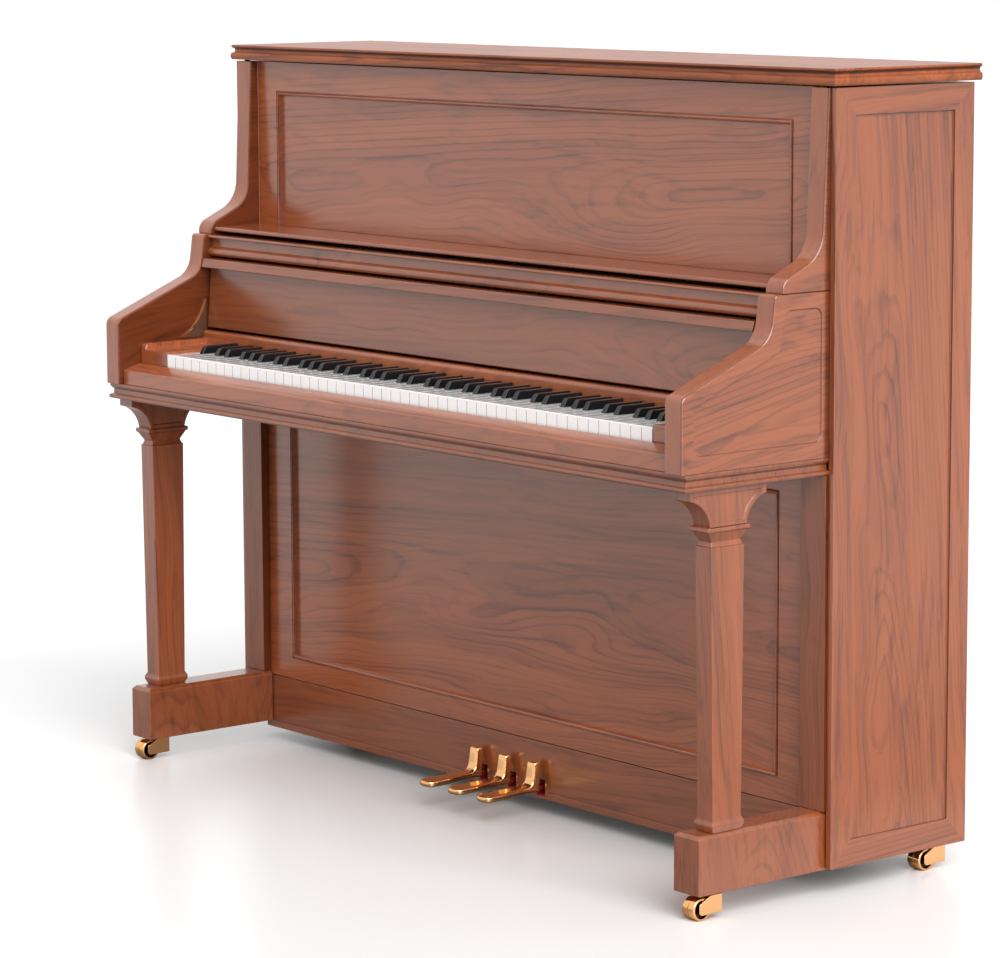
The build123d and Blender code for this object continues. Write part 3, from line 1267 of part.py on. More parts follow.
def build_nodes():
    """Every node of the piano: a name and its solids."""
    nodes = {}
    nodes["side_right"] = [case_side()]
    nodes["side_left"] = [bass(nodes["side_right"][0])]
    nodes["arm_right"] = [upper_post(), lower_arm()]
    nodes["arm_left"] = [bass(piece) for piece in nodes["arm_right"]]
    nodes["lower_stiles"] = [lower_stile(), bass(lower_stile())]
    nodes["toe_blocks"] = [toe_block(), bass(toe_block())]
    nodes["leg_right"] = [leg()]
    nodes["leg_left"] = [bass(nodes["leg_right"][0])]
    nodes["top_lid"] = [top_lid()]
    nodes["lid_hinges"], nodes["lid_hinge_leaves"] = hinge_bodies()
    nodes["upper_panel"] = [framed_panel(
        INSIDE, SHELF_TOP - SHELF_THICK, CASE_TOP - SEAT, UPPER_FRONT, UPPER_THICK,
        UPPER_SIDE_BORDER, UPPER_TOP_BORDER, 0.0,
    )]
    nodes["knee_panel"] = [framed_panel(
        INSIDE, KNEE_BOTTOM, BED_BOTTOM - SEAT, KNEE_FRONT, KNEE_THICK,
        KNEE_SIDE_BORDER + ARM_IN - ARM_OUT + STILE_WIDTH, KNEE_END_BORDER, KNEE_END_BORDER,
    )]
    nodes["bottom_rail"] = [bottom_rail()]
    nodes["bottom_board"] = bottom_board()
    nodes["key_bed"] = [block(-ARM_IN, ARM_IN, BED_FRONT, BED_BACK, BED_BOTTOM, ARM_BOTTOM)]
    nodes["key_bed_moulding"] = [key_bed_moulding()]
    nodes["key_slip"] = [key_slip()]
    nodes["key_surround"] = key_surround()
    nodes["key_frame"] = [key_frame()]
    nodes["fallboard"] = [fallboard()]
    nodes["fallboard_plates"] = [end_plate(), bass(end_plate())]
    nodes["fallboard_rail"] = [fallboard_rail()]
    nodes["music_shelf"] = [music_shelf()]
    nodes["back_frame"] = back_frame()
    nodes["soundboard"] = soundboard()
    nodes["pin_block"] = [block(
        -PIN_BLOCK_HALF, PIN_BLOCK_HALF, PIN_BLOCK_FRONT, POSTS_FRONT, PIN_BLOCK_BOTTOM, PIN_BLOCK_TOP,
    )]
    nodes["iron_plate"] = [iron_plate()]
    nodes["strings"] = strings()
    nodes["tuning_pins"] = tuning_pins()
    nodes["action_frame"] = [action_frame()]
    one_hammer = hammer()
    nodes["hammers"] = [Pos(note_x(note), 0, 0) * one_hammer for note in range(NOTE_COUNT)]
    bass_damper = damper(BASS_WIRE_Y - BASS_WIRE)
    tenor_damper = damper(TENOR_WIRE_Y - TENOR_WIRE)
    bass_end = bass_band_end(DAMPER_TOP - DAMPER_HEAD) + DAMPER_WIDTH
    nodes["dampers"] = [
        Pos(note_x(note), 0, 0) * (bass_damper if note_x(note) < bass_end else tenor_damper)
        for note in range(DAMPER_COUNT)
    ]
    nodes["muffler_rail"] = [muffler_rail()]
    for name, x in zip(("left", "middle", "right"), pedal_places()):
        nodes["pedal_" + name] = [pedal(x)]
        nodes["pedal_stick_" + name] = [pedal_stick(x)]
    for end, y in (("front", FRONT_WHEEL_Y), ("rear", REAR_WHEEL_Y)):
        for hand, x in (("left", -CASTER_X), ("right", CASTER_X)):
            nodes["caster_fork_" + end + "_" + hand] = [caster_fork(x, y)]
            nodes["caster_wheel_" + end + "_" + hand] = [caster_wheel(x, y)]
    for name, keys in keys_by_name().items():
        nodes["keys_" + name] = keys
    return nodes


os.makedirs("parts", exist_ok=True)
for node_name, pieces in build_nodes().items():
    solids = [solid for piece in pieces for solid in piece.solids()]
    shape = solids[0] if len(solids) == 1 else Compound(children=solids)
    export_step(shape, "parts/" + node_name + ".step")
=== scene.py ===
import json
import math

import bmesh
import bpy
from bpy.props import FloatProperty, FloatVectorProperty, PointerProperty
from mathutils import Euler, Matrix, Vector

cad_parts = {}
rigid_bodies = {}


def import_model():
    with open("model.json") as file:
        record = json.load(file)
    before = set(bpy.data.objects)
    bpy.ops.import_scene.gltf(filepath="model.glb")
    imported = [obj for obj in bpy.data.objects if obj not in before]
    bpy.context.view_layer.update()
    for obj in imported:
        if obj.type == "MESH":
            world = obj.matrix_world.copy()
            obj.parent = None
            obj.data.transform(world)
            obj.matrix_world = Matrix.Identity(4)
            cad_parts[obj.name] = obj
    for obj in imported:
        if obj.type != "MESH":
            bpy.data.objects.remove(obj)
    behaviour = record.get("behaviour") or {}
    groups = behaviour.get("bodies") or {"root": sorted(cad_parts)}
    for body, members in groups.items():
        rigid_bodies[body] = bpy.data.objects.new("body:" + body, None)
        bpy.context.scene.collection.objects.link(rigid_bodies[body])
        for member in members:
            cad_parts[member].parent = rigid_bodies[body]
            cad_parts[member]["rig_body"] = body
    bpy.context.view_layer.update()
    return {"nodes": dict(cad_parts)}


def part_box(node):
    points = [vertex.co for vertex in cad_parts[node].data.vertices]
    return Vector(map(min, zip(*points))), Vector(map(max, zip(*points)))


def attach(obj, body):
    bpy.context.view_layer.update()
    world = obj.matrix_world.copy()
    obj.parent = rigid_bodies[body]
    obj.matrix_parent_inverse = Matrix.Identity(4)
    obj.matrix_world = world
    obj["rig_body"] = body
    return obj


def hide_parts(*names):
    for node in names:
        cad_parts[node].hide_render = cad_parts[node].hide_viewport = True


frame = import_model()

bl_info = {
    "name": "Upright Piano",
    "version": (1, 0, 0),
    "blender": (4, 5, 0),
    "location": "View3D > Sidebar > Piano",
    "description": "Dresses an upright piano in walnut, brass and polished keys",
    "category": "Object",
}

WHITE_NOTES = ("a", "b", "c", "d", "e", "f", "g")
BLACK_NOTES = ("a_sharp", "c_sharp", "d_sharp", "f_sharp", "g_sharp")
CASTERS = ("front_left", "front_right", "rear_left", "rear_right")
PEDALS = ("left", "middle", "right")
BOTH_WAYS = (-1.0, 1.0)
GRAIN_TURN = {"x": (0.0, 0.0, 0.0), "y": (0.0, 0.0, -90.0), "z": (0.0, 90.0, 0.0)}

# Least lean of a face's normal along X: on a wall, on a key's flank and on a flat cheek.
WALL_LEAN = 0.6
FLANK_LEAN = 0.9
CHEEK_LEAN = 0.97

# Least lean downwards of the faces in the lid's cove.
HOLLOW_LEAN = 0.12

# Painted shade that darkens the finish on steps, corners, walls and hollows, and in the casters' sunk faces.
PAINTED_STEP_SHADE = (0.42, 0.34, 0.26)
PAINTED_CORNER_SHADE = (0.40, 0.32, 0.20)
PAINTED_STILE_SHADE = (0.45, 0.36, 0.25)
PAINTED_BEAD_SHADE = (0.45, 0.34, 0.24)
PAINTED_COVE_SHADE = (0.42, 0.36, 0.30)
PAINTED_RECESS_SHADE = (0.04, 0.04, 0.04)

# Walnut boards: ring scale, share of streaks, where a ring's late wood peaks, depth of the heart line behind
# a face, and open pores.
BOARD_RINGS = 38.0
BOARD_STREAKS = 0.36
LATE_PEAK = 0.90
HEART_DEPTH = 0.09
PORE_DEPTH = 0.0003
PORE_RELIEF = 0.12

# Lengths are in metres. Case: a side's border and sunk field, an arm's sunk field, the lid's bead and the
# beams of the back frame.
SIDE_BORDER = 0.040
SIDE_SINK = 0.004
ARM_SINK = 0.0025
LID_BEAD = 0.0105
BEAM_HEIGHT = 0.091

# Brass edges of the fallboard's end plates.
EDGE_WIDTH = 0.0029
EDGE_SAG = 0.009
EDGE_STEPS = 24

# Black keys: corners nearer than this are one key's, half its width, height of its stick, round of its edges.
BLACK_APART = 0.012
BLACK_HALF = 0.0053
BLACK_STICK = 0.021
BLACK_ROUND = 0.0008

# Pedal slots in the bottom rail, and their felt.
SLOT_LOW = 0.031
SLOT_HIGH = 0.061
SLOT_HALF = 0.0105
SOLE_HALF = 0.0085
SLOT_SHY = 0.001
FELT_ROUND = 0.0004

# Pedals: the casting's grain and polish, and the neck that leans back and narrows above its foot.
CAST_VOXEL = 0.0008
CAST_PASSES = 110
NECK_FOOT = 0.053
NECK_LEAN = 0.14
NECK_TAPER = 3.0

# Caster wheels, hinge leaves and their screws.
WHEEL_STEPS = 48
LEAF_THICK = 0.002
LEAF_HALF = 0.040
SCREW_STEPS = 12
SCREW_RADIUS = 0.0035

# Stage.
FLOOR_REACH = 40.0
LAMP_PLACE = (4.0, -1.25, 2.9)

# Bead round a panel: share of its width, share of the field's depth.
BEAD_PROFILE = (
    (0.0, 0.0), (0.06, 0.30), (0.16, 0.34), (0.24, 0.05), (0.36, -0.22), (0.50, -0.30), (0.64, -0.20),
    (0.76, 0.16), (0.88, 0.62), (1.0, 1.0),
)


class PianoFinish(bpy.types.PropertyGroup):
    """Colours and gloss of the piano's finishes."""

    wood_light: FloatVectorProperty(
        name="Wood light", description="Walnut between its growth rings", subtype="COLOR",
        default=(0.345, 0.088, 0.026), min=0.0, max=1.0,
    )
    wood_dark: FloatVectorProperty(
        name="Wood dark", description="Walnut in its dark streaks and rings", subtype="COLOR",
        default=(0.105, 0.024, 0.008), min=0.0, max=1.0,
    )
    wood_gloss: FloatProperty(
        name="Wood roughness", description="Roughness of the wood under its lacquer", subtype="FACTOR",
        default=0.42, min=0.05, max=1.0,
    )
    spruce_light: FloatVectorProperty(
        name="Spruce light", description="Pale wood of the soundboard and the inner frame", subtype="COLOR",
        default=(0.62, 0.41, 0.21), min=0.0, max=1.0,
    )
    spruce_dark: FloatVectorProperty(
        name="Spruce dark", description="Darker lines in the pale inner wood", subtype="COLOR",
        default=(0.40, 0.23, 0.10), min=0.0, max=1.0,
    )
    brass: FloatVectorProperty(
        name="Brass", description="Polished brass of pedals, casters and hinges", subtype="COLOR",
        default=(0.90, 0.50, 0.23), min=0.0, max=1.0,
    )
    ivory: FloatVectorProperty(
        name="White key", description="White key covering", subtype="COLOR",
        default=(0.97, 0.97, 0.96), min=0.0, max=1.0,
    )
    ebony: FloatVectorProperty(
        name="Black key", description="Black key covering", subtype="COLOR",
        default=(0.008, 0.008, 0.009), min=0.0, max=1.0,
    )


class PianoSizes(bpy.types.PropertyGroup):
    """Sizes of the details that the finish adds."""

    case_round: FloatProperty(
        name="Case edge round", description="Round on the cabinet's sharp edges",
        default=0.0011, min=0.0, unit="LENGTH",
    )
    key_round: FloatProperty(
        name="Key edge round", description="Round on the white keys' edges",
        default=0.00035, min=0.0, unit="LENGTH",
    )
    key_cover: FloatProperty(
        name="Key covering", description="Thickness of the white keys' covering",
        default=0.0026, min=0.0005, unit="LENGTH",
    )
    cover_length: FloatProperty(
        name="Covering length", description="Length of the keys' coverings, from the white keys' fronts",
        default=0.140, min=0.1, unit="LENGTH",
    )
    cover_lap: FloatProperty(
        name="Covering lap", description="How far the white covering laps each flank of its key",
        default=0.00018, min=0.0, max=0.0004, unit="LENGTH",
    )
    brass_round: FloatProperty(
        name="Brass edge round", description="Round on the caster forks' edges",
        default=0.00064, min=0.0, unit="LENGTH",
    )
    bead_width: FloatProperty(
        name="Panel bead", description="Width of the moulding round the sunk panels",
        default=0.009, min=0.001, unit="LENGTH",
    )
    field_sink: FloatProperty(
        name="Panel depth", description="How far the panels' fields lie back",
        default=0.006, min=0.001, unit="LENGTH",
    )
    edge_strip: FloatProperty(
        name="Guard edge", description="Thickness of the brass edge on the fallboard's end plates",
        default=0.0011, min=0.0002, unit="LENGTH",
    )
    felt: FloatProperty(
        name="Slot felt", description="Thickness of the felt in the pedal slots",
        default=0.0022, min=0.0005, unit="LENGTH",
    )


class PianoStage(bpy.types.PropertyGroup):
    """Camera, floor and light."""

    camera_place: FloatVectorProperty(
        name="Camera", description="Where the camera stands", subtype="TRANSLATION",
        default=(4.6941, -3.8585, 1.4347),
    )
    camera_target: FloatVectorProperty(
        name="Target", description="Point that the camera looks at", subtype="TRANSLATION",
        default=(-0.050455, 0.016057, 0.533509),
    )
    camera_roll: FloatProperty(
        name="Roll", description="Tilt of the camera about its view", subtype="ANGLE",
        default=math.radians(-0.269),
    )
    lens: FloatProperty(name="Lens", description="Focal length", default=138.26, min=10.0, unit="CAMERA")
    floor: FloatVectorProperty(
        name="Floor", description="Colour of the floor", subtype="COLOR", default=(0.90, 0.90, 0.90),
    )
    sky: FloatProperty(name="Sky", description="Light from all round", default=0.70, min=0.0)
    key_light: FloatProperty(
        name="Key light", description="Strength of the broad soft lamp", default=3.6, min=0.0,
    )
    key_spread: FloatProperty(
        name="Key spread", description="How wide the lamp looks, for soft shadows", subtype="ANGLE",
        default=math.radians(55.0), min=0.0,
    )


def new_piece(name, mesh):
    """Object at the origin that holds a mesh."""
    piece = bpy.data.objects.new(name, mesh)
    bpy.context.scene.collection.objects.link(piece)
    return piece


def shaped(name, shape, outward=True):
    """Object at the origin made from an edited mesh, with its faces turned outwards."""
    if outward:
        bmesh.ops.recalc_face_normals(shape, faces=shape.faces)
    mesh = bpy.data.meshes.new(name)
    shape.to_mesh(mesh)
    shape.free()
    return new_piece(name, mesh)


def bridge(shape, near, far):
    """Faces between two loops of corners."""
    faces = []
    for index in range(len(near)):
        after = (index + 1) % len(near)
        faces.append(shape.faces.new((near[index], near[after], far[after], far[index])))
    return faces


def settle(piece, angle=50.0):
    """Turn a piece's modifiers into plain mesh and smooth all but its sharp edges."""
    depsgraph = bpy.context.evaluated_depsgraph_get()
    mesh = bpy.data.meshes.new_from_object(piece.evaluated_get(depsgraph))
    piece.modifiers.clear()
    piece.data = mesh
    mesh.name = piece.name
    mesh.shade_smooth()
    mesh.set_sharp_from_angle(angle=math.radians(angle))
    return piece


def round_edges(piece, width, segments=2, crease=32.0):
    """Round a piece's sharp edges and keep its flats flat."""
    bevel = piece.modifiers.new("Rounded edges", "BEVEL")
    bevel.width = width
    bevel.segments = segments
    bevel.limit_method = "ANGLE"
    bevel.angle_limit = math.radians(crease)
    bevel.use_clamp_overlap = False
    piece.data.shade_smooth()
    weighted = piece.modifiers.new("Flat faces", "WEIGHTED_NORMAL")
    weighted.keep_sharp = True
    return settle(piece)


def merged_mesh(node):
    """A CAD node's mesh with its corners merged and its flats made whole."""
    mesh = frame["nodes"][node].data.copy()
    shape = bmesh.new()
    shape.from_mesh(mesh)
    bmesh.ops.remove_doubles(shape, verts=shape.verts, dist=0.00001)
    bmesh.ops.dissolve_limit(
        shape, angle_limit=math.radians(0.4), use_dissolve_boundaries=False, verts=shape.verts,
        edges=shape.edges, delimit=set(),
    )
    shape.to_mesh(mesh)
    shape.free()
    mesh.materials.clear()
    return mesh


def mark_faces(piece, name, chosen):
    """Number on each face: 1 where it is one of those chosen, 0 elsewhere."""
    mark = piece.data.attributes.new(name, "FLOAT", "FACE")
    for face in piece.data.polygons:
        mark.data[face.index].value = 1.0 if chosen(face) else 0.0


def paint_step_shade(piece, material, sign, sink):
    """Paint shade on the step round a field that is sunk in a piece's outer cheek."""
    outside = max(corner.co.x * sign for corner in piece.data.vertices)
    floor, brink = outside - sink, outside - sink * 0.4
    mark_faces(
        piece, "step", lambda face: abs(face.normal.x) < CHEEK_LEAN and floor < face.center.x * sign < brink,
    )
    # Painted shade: the step faces are darkened.
    recolour(material, marked(material, "step"), PAINTED_STEP_SHADE)


def mark_walls(piece):
    """Mark the faces of a piece that look along X."""
    mark_faces(piece, "wall", lambda face: abs(face.normal.x) > WALL_LEAN)


def body_of_node(node):
    """Name of the body that a CAD node rides on."""
    return frame["nodes"][node]["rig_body"]


def dress(piece, material, body, slot, *nodes):
    """Give a piece its material and body, and let it stand for its CAD nodes."""
    piece.data.materials.clear()
    piece.data.materials.append(material)
    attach(piece, body)
    if nodes:
        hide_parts(*nodes)
    return piece


def softened(node, material, width, slot="cabinet_wood", segments=2):
    """Stand-in for a CAD node with its edges rounded over."""
    piece = round_edges(new_piece(node + "_finished", merged_mesh(node)), width, segments)
    return dress(piece, material, body_of_node(node), slot, node)


def add_node(tree, kind, **settings):
    """Node with some of its settings made."""
    node = tree.nodes.new(kind)
    for name, value in settings.items():
        setattr(node, name, value)
    return node


def feed(socket, value):
    """Link a node's input to another socket, or give it a plain value."""
    if isinstance(value, bpy.types.NodeSocket):
        socket.id_data.links.new(value, socket)
    else:
        socket.default_value = value


def feed_all(node, **values):
    """Feed a node's inputs by name. An underscore stands for a space."""
    for name, value in values.items():
        feed(node.inputs[name.replace("_", " ")], value)


def open_group(name, kind, inputs, outputs):
    """Node group with named sockets, and its first and last nodes."""
    group = bpy.data.node_groups.new(name, kind)
    for way, sockets in (("INPUT", inputs), ("OUTPUT", outputs)):
        for label, sort, *value in sockets:
            socket = group.interface.new_socket(name=label, in_out=way, socket_type="NodeSocket" + sort)
            if value:
                socket.default_value = value[0]
    return group, add_node(group, "NodeGroupInput"), add_node(group, "NodeGroupOutput")


def math_node(operation, first, second, clamp=False):
    """Math node between two sockets, or a socket and a number."""
    known = second if isinstance(first, (int, float)) else first
    node = add_node(known.id_data, "ShaderNodeMath", operation=operation, use_clamp=clamp)
    feed(node.inputs[0], first)
    feed(node.inputs[1], second)
    return node.outputs[0]


def plus(first, second, clamp=False):
    """Sum of two values."""
    return math_node("ADD", first, second, clamp)


def minus(first, second):
    """Difference of two values."""
    return math_node("SUBTRACT", first, second)


def times(first, second):
    """Product of two values."""
    return math_node("MULTIPLY", first, second)


def vector_node(operation, first, second):
    """Vector math node between a socket and another, or a value."""
    node = add_node(first.id_data, "ShaderNodeVectorMath", operation=operation)
    feed(node.inputs[0], first)
    feed(node.inputs[1], second)
    return node.outputs[0]


def scaled_colour(colour, amount):
    """Colour, a socket or a value, times an amount."""
    node = add_node(amount.id_data, "ShaderNodeVectorMath", operation="SCALE")
    feed(node.inputs[0], colour)
    feed(node.inputs["Scale"], amount)
    return node.outputs[0]


def mixed(amount, first, second, blend="MIX"):
    """First colour changed by a second as far as an amount says."""
    mix = add_node(amount.id_data, "ShaderNodeMix", data_type="RGBA", blend_type=blend)
    feed_all(mix, Factor=amount, A=first, B=second)
    return mix.outputs["Result"]


def stretched_noise(vector, stretch, detail, roughness=0.5):
    """Noise drawn out along the grain."""
    noise = add_node(vector.id_data, "ShaderNodeTexNoise")
    place = vector_node("MULTIPLY", vector, stretch)
    feed_all(noise, Vector=place, Scale=1.0, Detail=detail, Roughness=roughness)
    return noise.outputs["Fac"]


def remap(value, low, high, start=0.0, end=1.0):
    """Stretch a range of a value to another range, with soft ends."""
    node = add_node(value.id_data, "ShaderNodeMapRange", interpolation_type="SMOOTHSTEP")
    feed_all(node, Value=value, From_Min=low, From_Max=high, To_Min=start, To_Max=end)
    return node.outputs["Result"]


def growth_rings(vector, scale, start):
    """Dark late wood of growth rings round the grain line."""
    tree = vector.id_data
    rings = add_node(tree, "ShaderNodeTexWave", wave_type="RINGS", rings_direction="X", wave_profile="SAW")
    feed_all(rings, Vector=vector, Scale=scale, Distortion=0.8, Detail=2.0, Detail_Scale=1.5)
    ramp = add_node(tree, "ShaderNodeValToRGB")
    ramp.color_ramp.interpolation = "EASE"
    early, late = ramp.color_ramp.elements
    early.position = start
    late.position = LATE_PEAK
    ramp.color_ramp.elements.new(1.0).color = (0.0, 0.0, 0.0, 1.0)
    feed(ramp.inputs["Fac"], rings.outputs["Fac"])
    return ramp.outputs["Color"]


def make_figure_group():
    """Wood figure: growth rings cut along the grain, streaks, cloud and open pores."""
    group, start, finish = open_group(
        "Wood figure", "ShaderNodeTree",
        (
            ("Vector", "Vector"), ("Light", "Color", (0.5, 0.3, 0.2, 1.0)),
            ("Dark", "Color", (0.2, 0.1, 0.05, 1.0)), ("Ring scale", "Float", 14.0), ("Figure", "Float", 0.5),
            ("Streaks", "Float", 0.5), ("Roughness", "Float", 0.35),
        ),
        (("Color", "Color"), ("Roughness", "Float"), ("Height", "Float")),
    )
    vector = start.outputs["Vector"]
    scale = start.outputs["Ring scale"]
    strength = start.outputs["Figure"]

    sway = minus(stretched_noise(vector, (1.3, 4.2, 4.2), 2.0), 0.5)
    ripple = minus(stretched_noise(vector, (5.0, 22.0, 22.0), 2.0), 0.5)
    bend = plus(times(sway, 0.16), times(ripple, 0.012))
    offset = add_node(group, "ShaderNodeCombineXYZ")
    feed_all(offset, Y=bend, Z=bend)
    bent = vector_node("ADD", vector, offset.outputs[0])

    late = growth_rings(bent, scale, 0.58)
    broad = growth_rings(bent, times(scale, 0.15), 0.15)
    streak = remap(stretched_noise(bent, (2.2, 90.0, 90.0), 4.0, 0.62), 0.44, 0.70)
    cloud = remap(stretched_noise(vector, (1.6, 5.0, 5.0), 2.0), 0.3, 0.7)
    pores = remap(stretched_noise(vector, (26.0, 900.0, 900.0), 2.0, 0.7), 0.54, 0.70)
    fade = remap(stretched_noise(vector, (2.4, 8.0, 8.0), 2.0), 0.35, 0.62, 0.25, 1.0)

    amount = times(times(late, fade), strength)
    amount = plus(amount, times(times(broad, strength), 0.5))
    amount = plus(amount, times(streak, start.outputs["Streaks"]))
    amount = plus(amount, times(cloud, 0.16))
    amount = plus(amount, times(pores, 0.12), clamp=True)
    feed_all(
        finish, Color=mixed(amount, start.outputs["Light"], start.outputs["Dark"]),
        Roughness=plus(start.outputs["Roughness"], times(pores, 0.07)),
        Height=minus(times(late, 0.12), times(pores, 0.5)),
    )
    return group


def make_mottle_group():
    """Slow change of tone and fine surface marks, for metal, felt and key coverings."""
    group, start, finish = open_group(
        "Surface mottle", "ShaderNodeTree",
        (
            ("Vector", "Vector"), ("Color", "Color", (0.5, 0.5, 0.5, 1.0)), ("Tone", "Float", 0.1),
            ("Grain", "Float", 400.0), ("Roughness", "Float", 0.3), ("Spread", "Float", 0.1),
        ),
        (("Color", "Color"), ("Roughness", "Float"), ("Height", "Float")),
    )
    vector = start.outputs["Vector"]
    broad = add_node(group, "ShaderNodeTexNoise")
    feed_all(broad, Vector=vector, Scale=22.0, Detail=3.0)
    close = add_node(group, "ShaderNodeTexNoise")
    feed_all(close, Vector=vector, Scale=start.outputs["Grain"], Detail=3.0, Roughness=0.65)
    slow, fine = broad.outputs["Fac"], close.outputs["Fac"]
    gain = plus(times(minus(plus(slow, fine), 1.0), start.outputs["Tone"]), 1.0)
    uneven = times(minus(slow, 0.5), start.outputs["Spread"])
    feed_all(
        finish, Color=scaled_colour(start.outputs["Color"], gain),
        Roughness=plus(uneven, start.outputs["Roughness"]), Height=fine,
    )
    return group


def shared_group(tree, name, maker):
    """Node for a group that is built the first time it is asked for."""
    return add_node(tree, "ShaderNodeGroup", node_tree=bpy.data.node_groups.get(name) or maker())


def new_material(name):
    """Material with a bare shader, and its object coordinates."""
    material = bpy.data.materials.new(name)
    material.use_nodes = True
    tree = material.node_tree
    tree.nodes.clear()
    output = add_node(tree, "ShaderNodeOutputMaterial")
    shader = add_node(tree, "ShaderNodeBsdfPrincipled")
    feed(output.inputs["Surface"], shader.outputs[0])
    return material, add_node(tree, "ShaderNodeTexCoord").outputs["Object"]


def shader_of(material):
    """The surface shader of a material."""
    return next(node for node in material.node_tree.nodes if node.type == "BSDF_PRINCIPLED")


def marked(material, name):
    """The number that a mark puts on each face."""
    return add_node(material.node_tree, "ShaderNodeAttribute", attribute_name=name).outputs["Fac"]


def place_along(material, axis):
    """A point's place along one axis of the piano."""
    tree = material.node_tree
    split = add_node(tree, "ShaderNodeSeparateXYZ")
    feed(split.inputs[0], add_node(tree, "ShaderNodeTexCoord").outputs["Object"])
    return split.outputs[axis]


def recolour(material, amount, colour, blend="MULTIPLY"):
    """Tint a material's colour, or change it for another, as far as an amount says."""
    base = shader_of(material).inputs["Base Color"]
    feed(base, mixed(amount, base.links[0].from_socket, (*colour, 1.0), blend))


def surface(material, node, colour, depth, relief):
    """Join a colour, and a group's roughness and relief, to a material's shader."""
    bump = add_node(material.node_tree, "ShaderNodeBump")
    feed_all(bump, Strength=relief, Distance=depth, Height=node.outputs["Height"])
    shader = shader_of(material)
    feed_all(shader, Base_Color=colour, Roughness=node.outputs["Roughness"], Normal=bump.outputs[0])


def figure(coordinates, grain, heart, tilt, light, dark, rough, rings, strength, streaks, along=0.0):
    """Wood figure node whose growth rings lie round a line through a point, tilted off the grain."""
    tree = coordinates.id_data
    turn = Euler([math.radians(angle) for angle in GRAIN_TURN[grain]])
    lean = Euler((0.0, math.radians(tilt), math.radians(tilt)))
    turn = (lean.to_matrix() @ turn.to_matrix()).to_euler()
    place = Vector((along, 0.0, 0.0)) - turn.to_matrix() @ Vector(heart)
    mapping = add_node(tree, "ShaderNodeMapping")
    feed_all(mapping, Vector=coordinates, Rotation=turn, Location=place)
    node = shared_group(tree, "Wood figure", make_figure_group)
    feed_all(
        node, Vector=mapping.outputs[0], Light=(*light, 1.0), Dark=(*dark, 1.0), Ring_scale=rings,
        Figure=strength, Streaks=streaks, Roughness=rough,
    )
    return node


def lacquered(material, node, colour, shine=1.0):
    """Wood figure under satin lacquer."""
    surface(material, node, colour, PORE_DEPTH, PORE_RELIEF)
    shader = shader_of(material)
    feed_all(shader, Coat_Weight=shine, Coat_Roughness=0.22, Coat_IOR=1.72, Specular_IOR_Level=0.15)
    return material


def toned(tone, *colours):
    """Colours made lighter or darker."""
    return [[channel * tone for channel in colour] for colour in colours]


def walnut_settings(tone=1.0):
    """Walnut's light and dark colours and its roughness."""
    finish = bpy.context.scene.piano_finish
    return (*toned(tone, finish.wood_light, finish.wood_dark), finish.wood_gloss)


def walnut(name, grain, heart, tilt=2.5, along=0.0, tone=1.0, strength=0.40, shine=1.0):
    """Lacquered walnut with the grain along one axis."""
    material, coordinates = new_material(name)
    look = (*walnut_settings(tone), BOARD_RINGS, strength, BOARD_STREAKS, along)
    node = figure(coordinates, grain, heart, tilt, *look)
    return lacquered(material, node, node.outputs["Color"], shine)


def paint_wall_shade(material, share, colour, mark="wall"):
    """Paint shade on the faces that a mark names: darken their colour and take a share of their coat away."""
    walls = marked(material, mark)
    coat = shader_of(material).inputs["Coat Weight"]
    feed(coat, minus(coat.default_value, times(walls, share)))
    recolour(material, walls, colour)


def banded_walnut(name, heart, along, corner):
    """Walnut for an arm: level grain on its cheeks, calm upright grain on the band round its edge.

    Its inner cheek is darkened with painted shade, and so is the outer one where it meets the case side at
    the corner."""
    material, coordinates = new_material(name)
    settings = walnut_settings()
    cheek = figure(coordinates, "y", heart, 6.0, *settings, 42.0, 0.38, 0.40, along)
    band = figure(coordinates, "z", heart, 3.0, *settings, 44.0, 0.14, 0.32, along)
    outer = marked(material, "outer")
    cheeks = plus(marked(material, "inner"), outer)
    lacquered(material, cheek, mixed(cheeks, band.outputs["Color"], cheek.outputs["Color"]))
    # Painted shade on the inner cheek.
    paint_wall_shade(material, 0.7, PAINTED_CORNER_SHADE, "inner")
    # Painted shade in the corner where the outer cheek meets the case side.
    near = remap(place_along(material, "Y"), corner - 0.013, corner - 0.003)
    recolour(material, times(near, outer), PAINTED_CORNER_SHADE)
    return material


def bordered_walnut(name, low, high, border, heart):
    """Walnut for a case side: upright field inside a border whose veneer turns at its mitres."""
    material, coordinates = new_material(name)
    margins = []
    for axis, first, last in (("Z", low.z, high.z), ("Y", low.y, high.y)):
        place = place_along(material, axis)
        margins.append(math_node("MINIMUM", minus(place, first), minus(last, place)))
    ends, sides = margins
    across = times(math_node("LESS_THAN", ends, sides), math_node("LESS_THAN", ends, border))
    settings = walnut_settings()
    upright = figure(coordinates, "z", heart, 2.2, *settings, 54.0, 0.34, 0.46)
    level = figure(coordinates, "y", heart, 1.5, *settings, 54.0, 0.34, 0.46, 0.3)
    return lacquered(material, upright, mixed(across, upright.outputs["Color"], level.outputs["Color"]))


def pale_wood(name, grain, heart, tone=1.0, beams=None):
    """Unlacquered pale wood of the inner frame. Above and below two heights its grain lies level."""
    finish = bpy.context.scene.piano_finish
    material, coordinates = new_material(name)
    settings = (heart, 1.0, *toned(tone, finish.spruce_light, finish.spruce_dark), 0.55, 40.0, 0.45, 0.30)
    node = figure(coordinates, grain, *settings)
    colour = node.outputs["Color"]
    if beams:
        level = figure(coordinates, "x", *settings, 0.4)
        height = place_along(material, "Z")
        above, below = math_node("GREATER_THAN", height, beams[1]), math_node("LESS_THAN", height, beams[0])
        colour = mixed(plus(above, below), colour, level.outputs["Color"])
    surface(material, node, colour, PORE_DEPTH, 0.2)
    return material


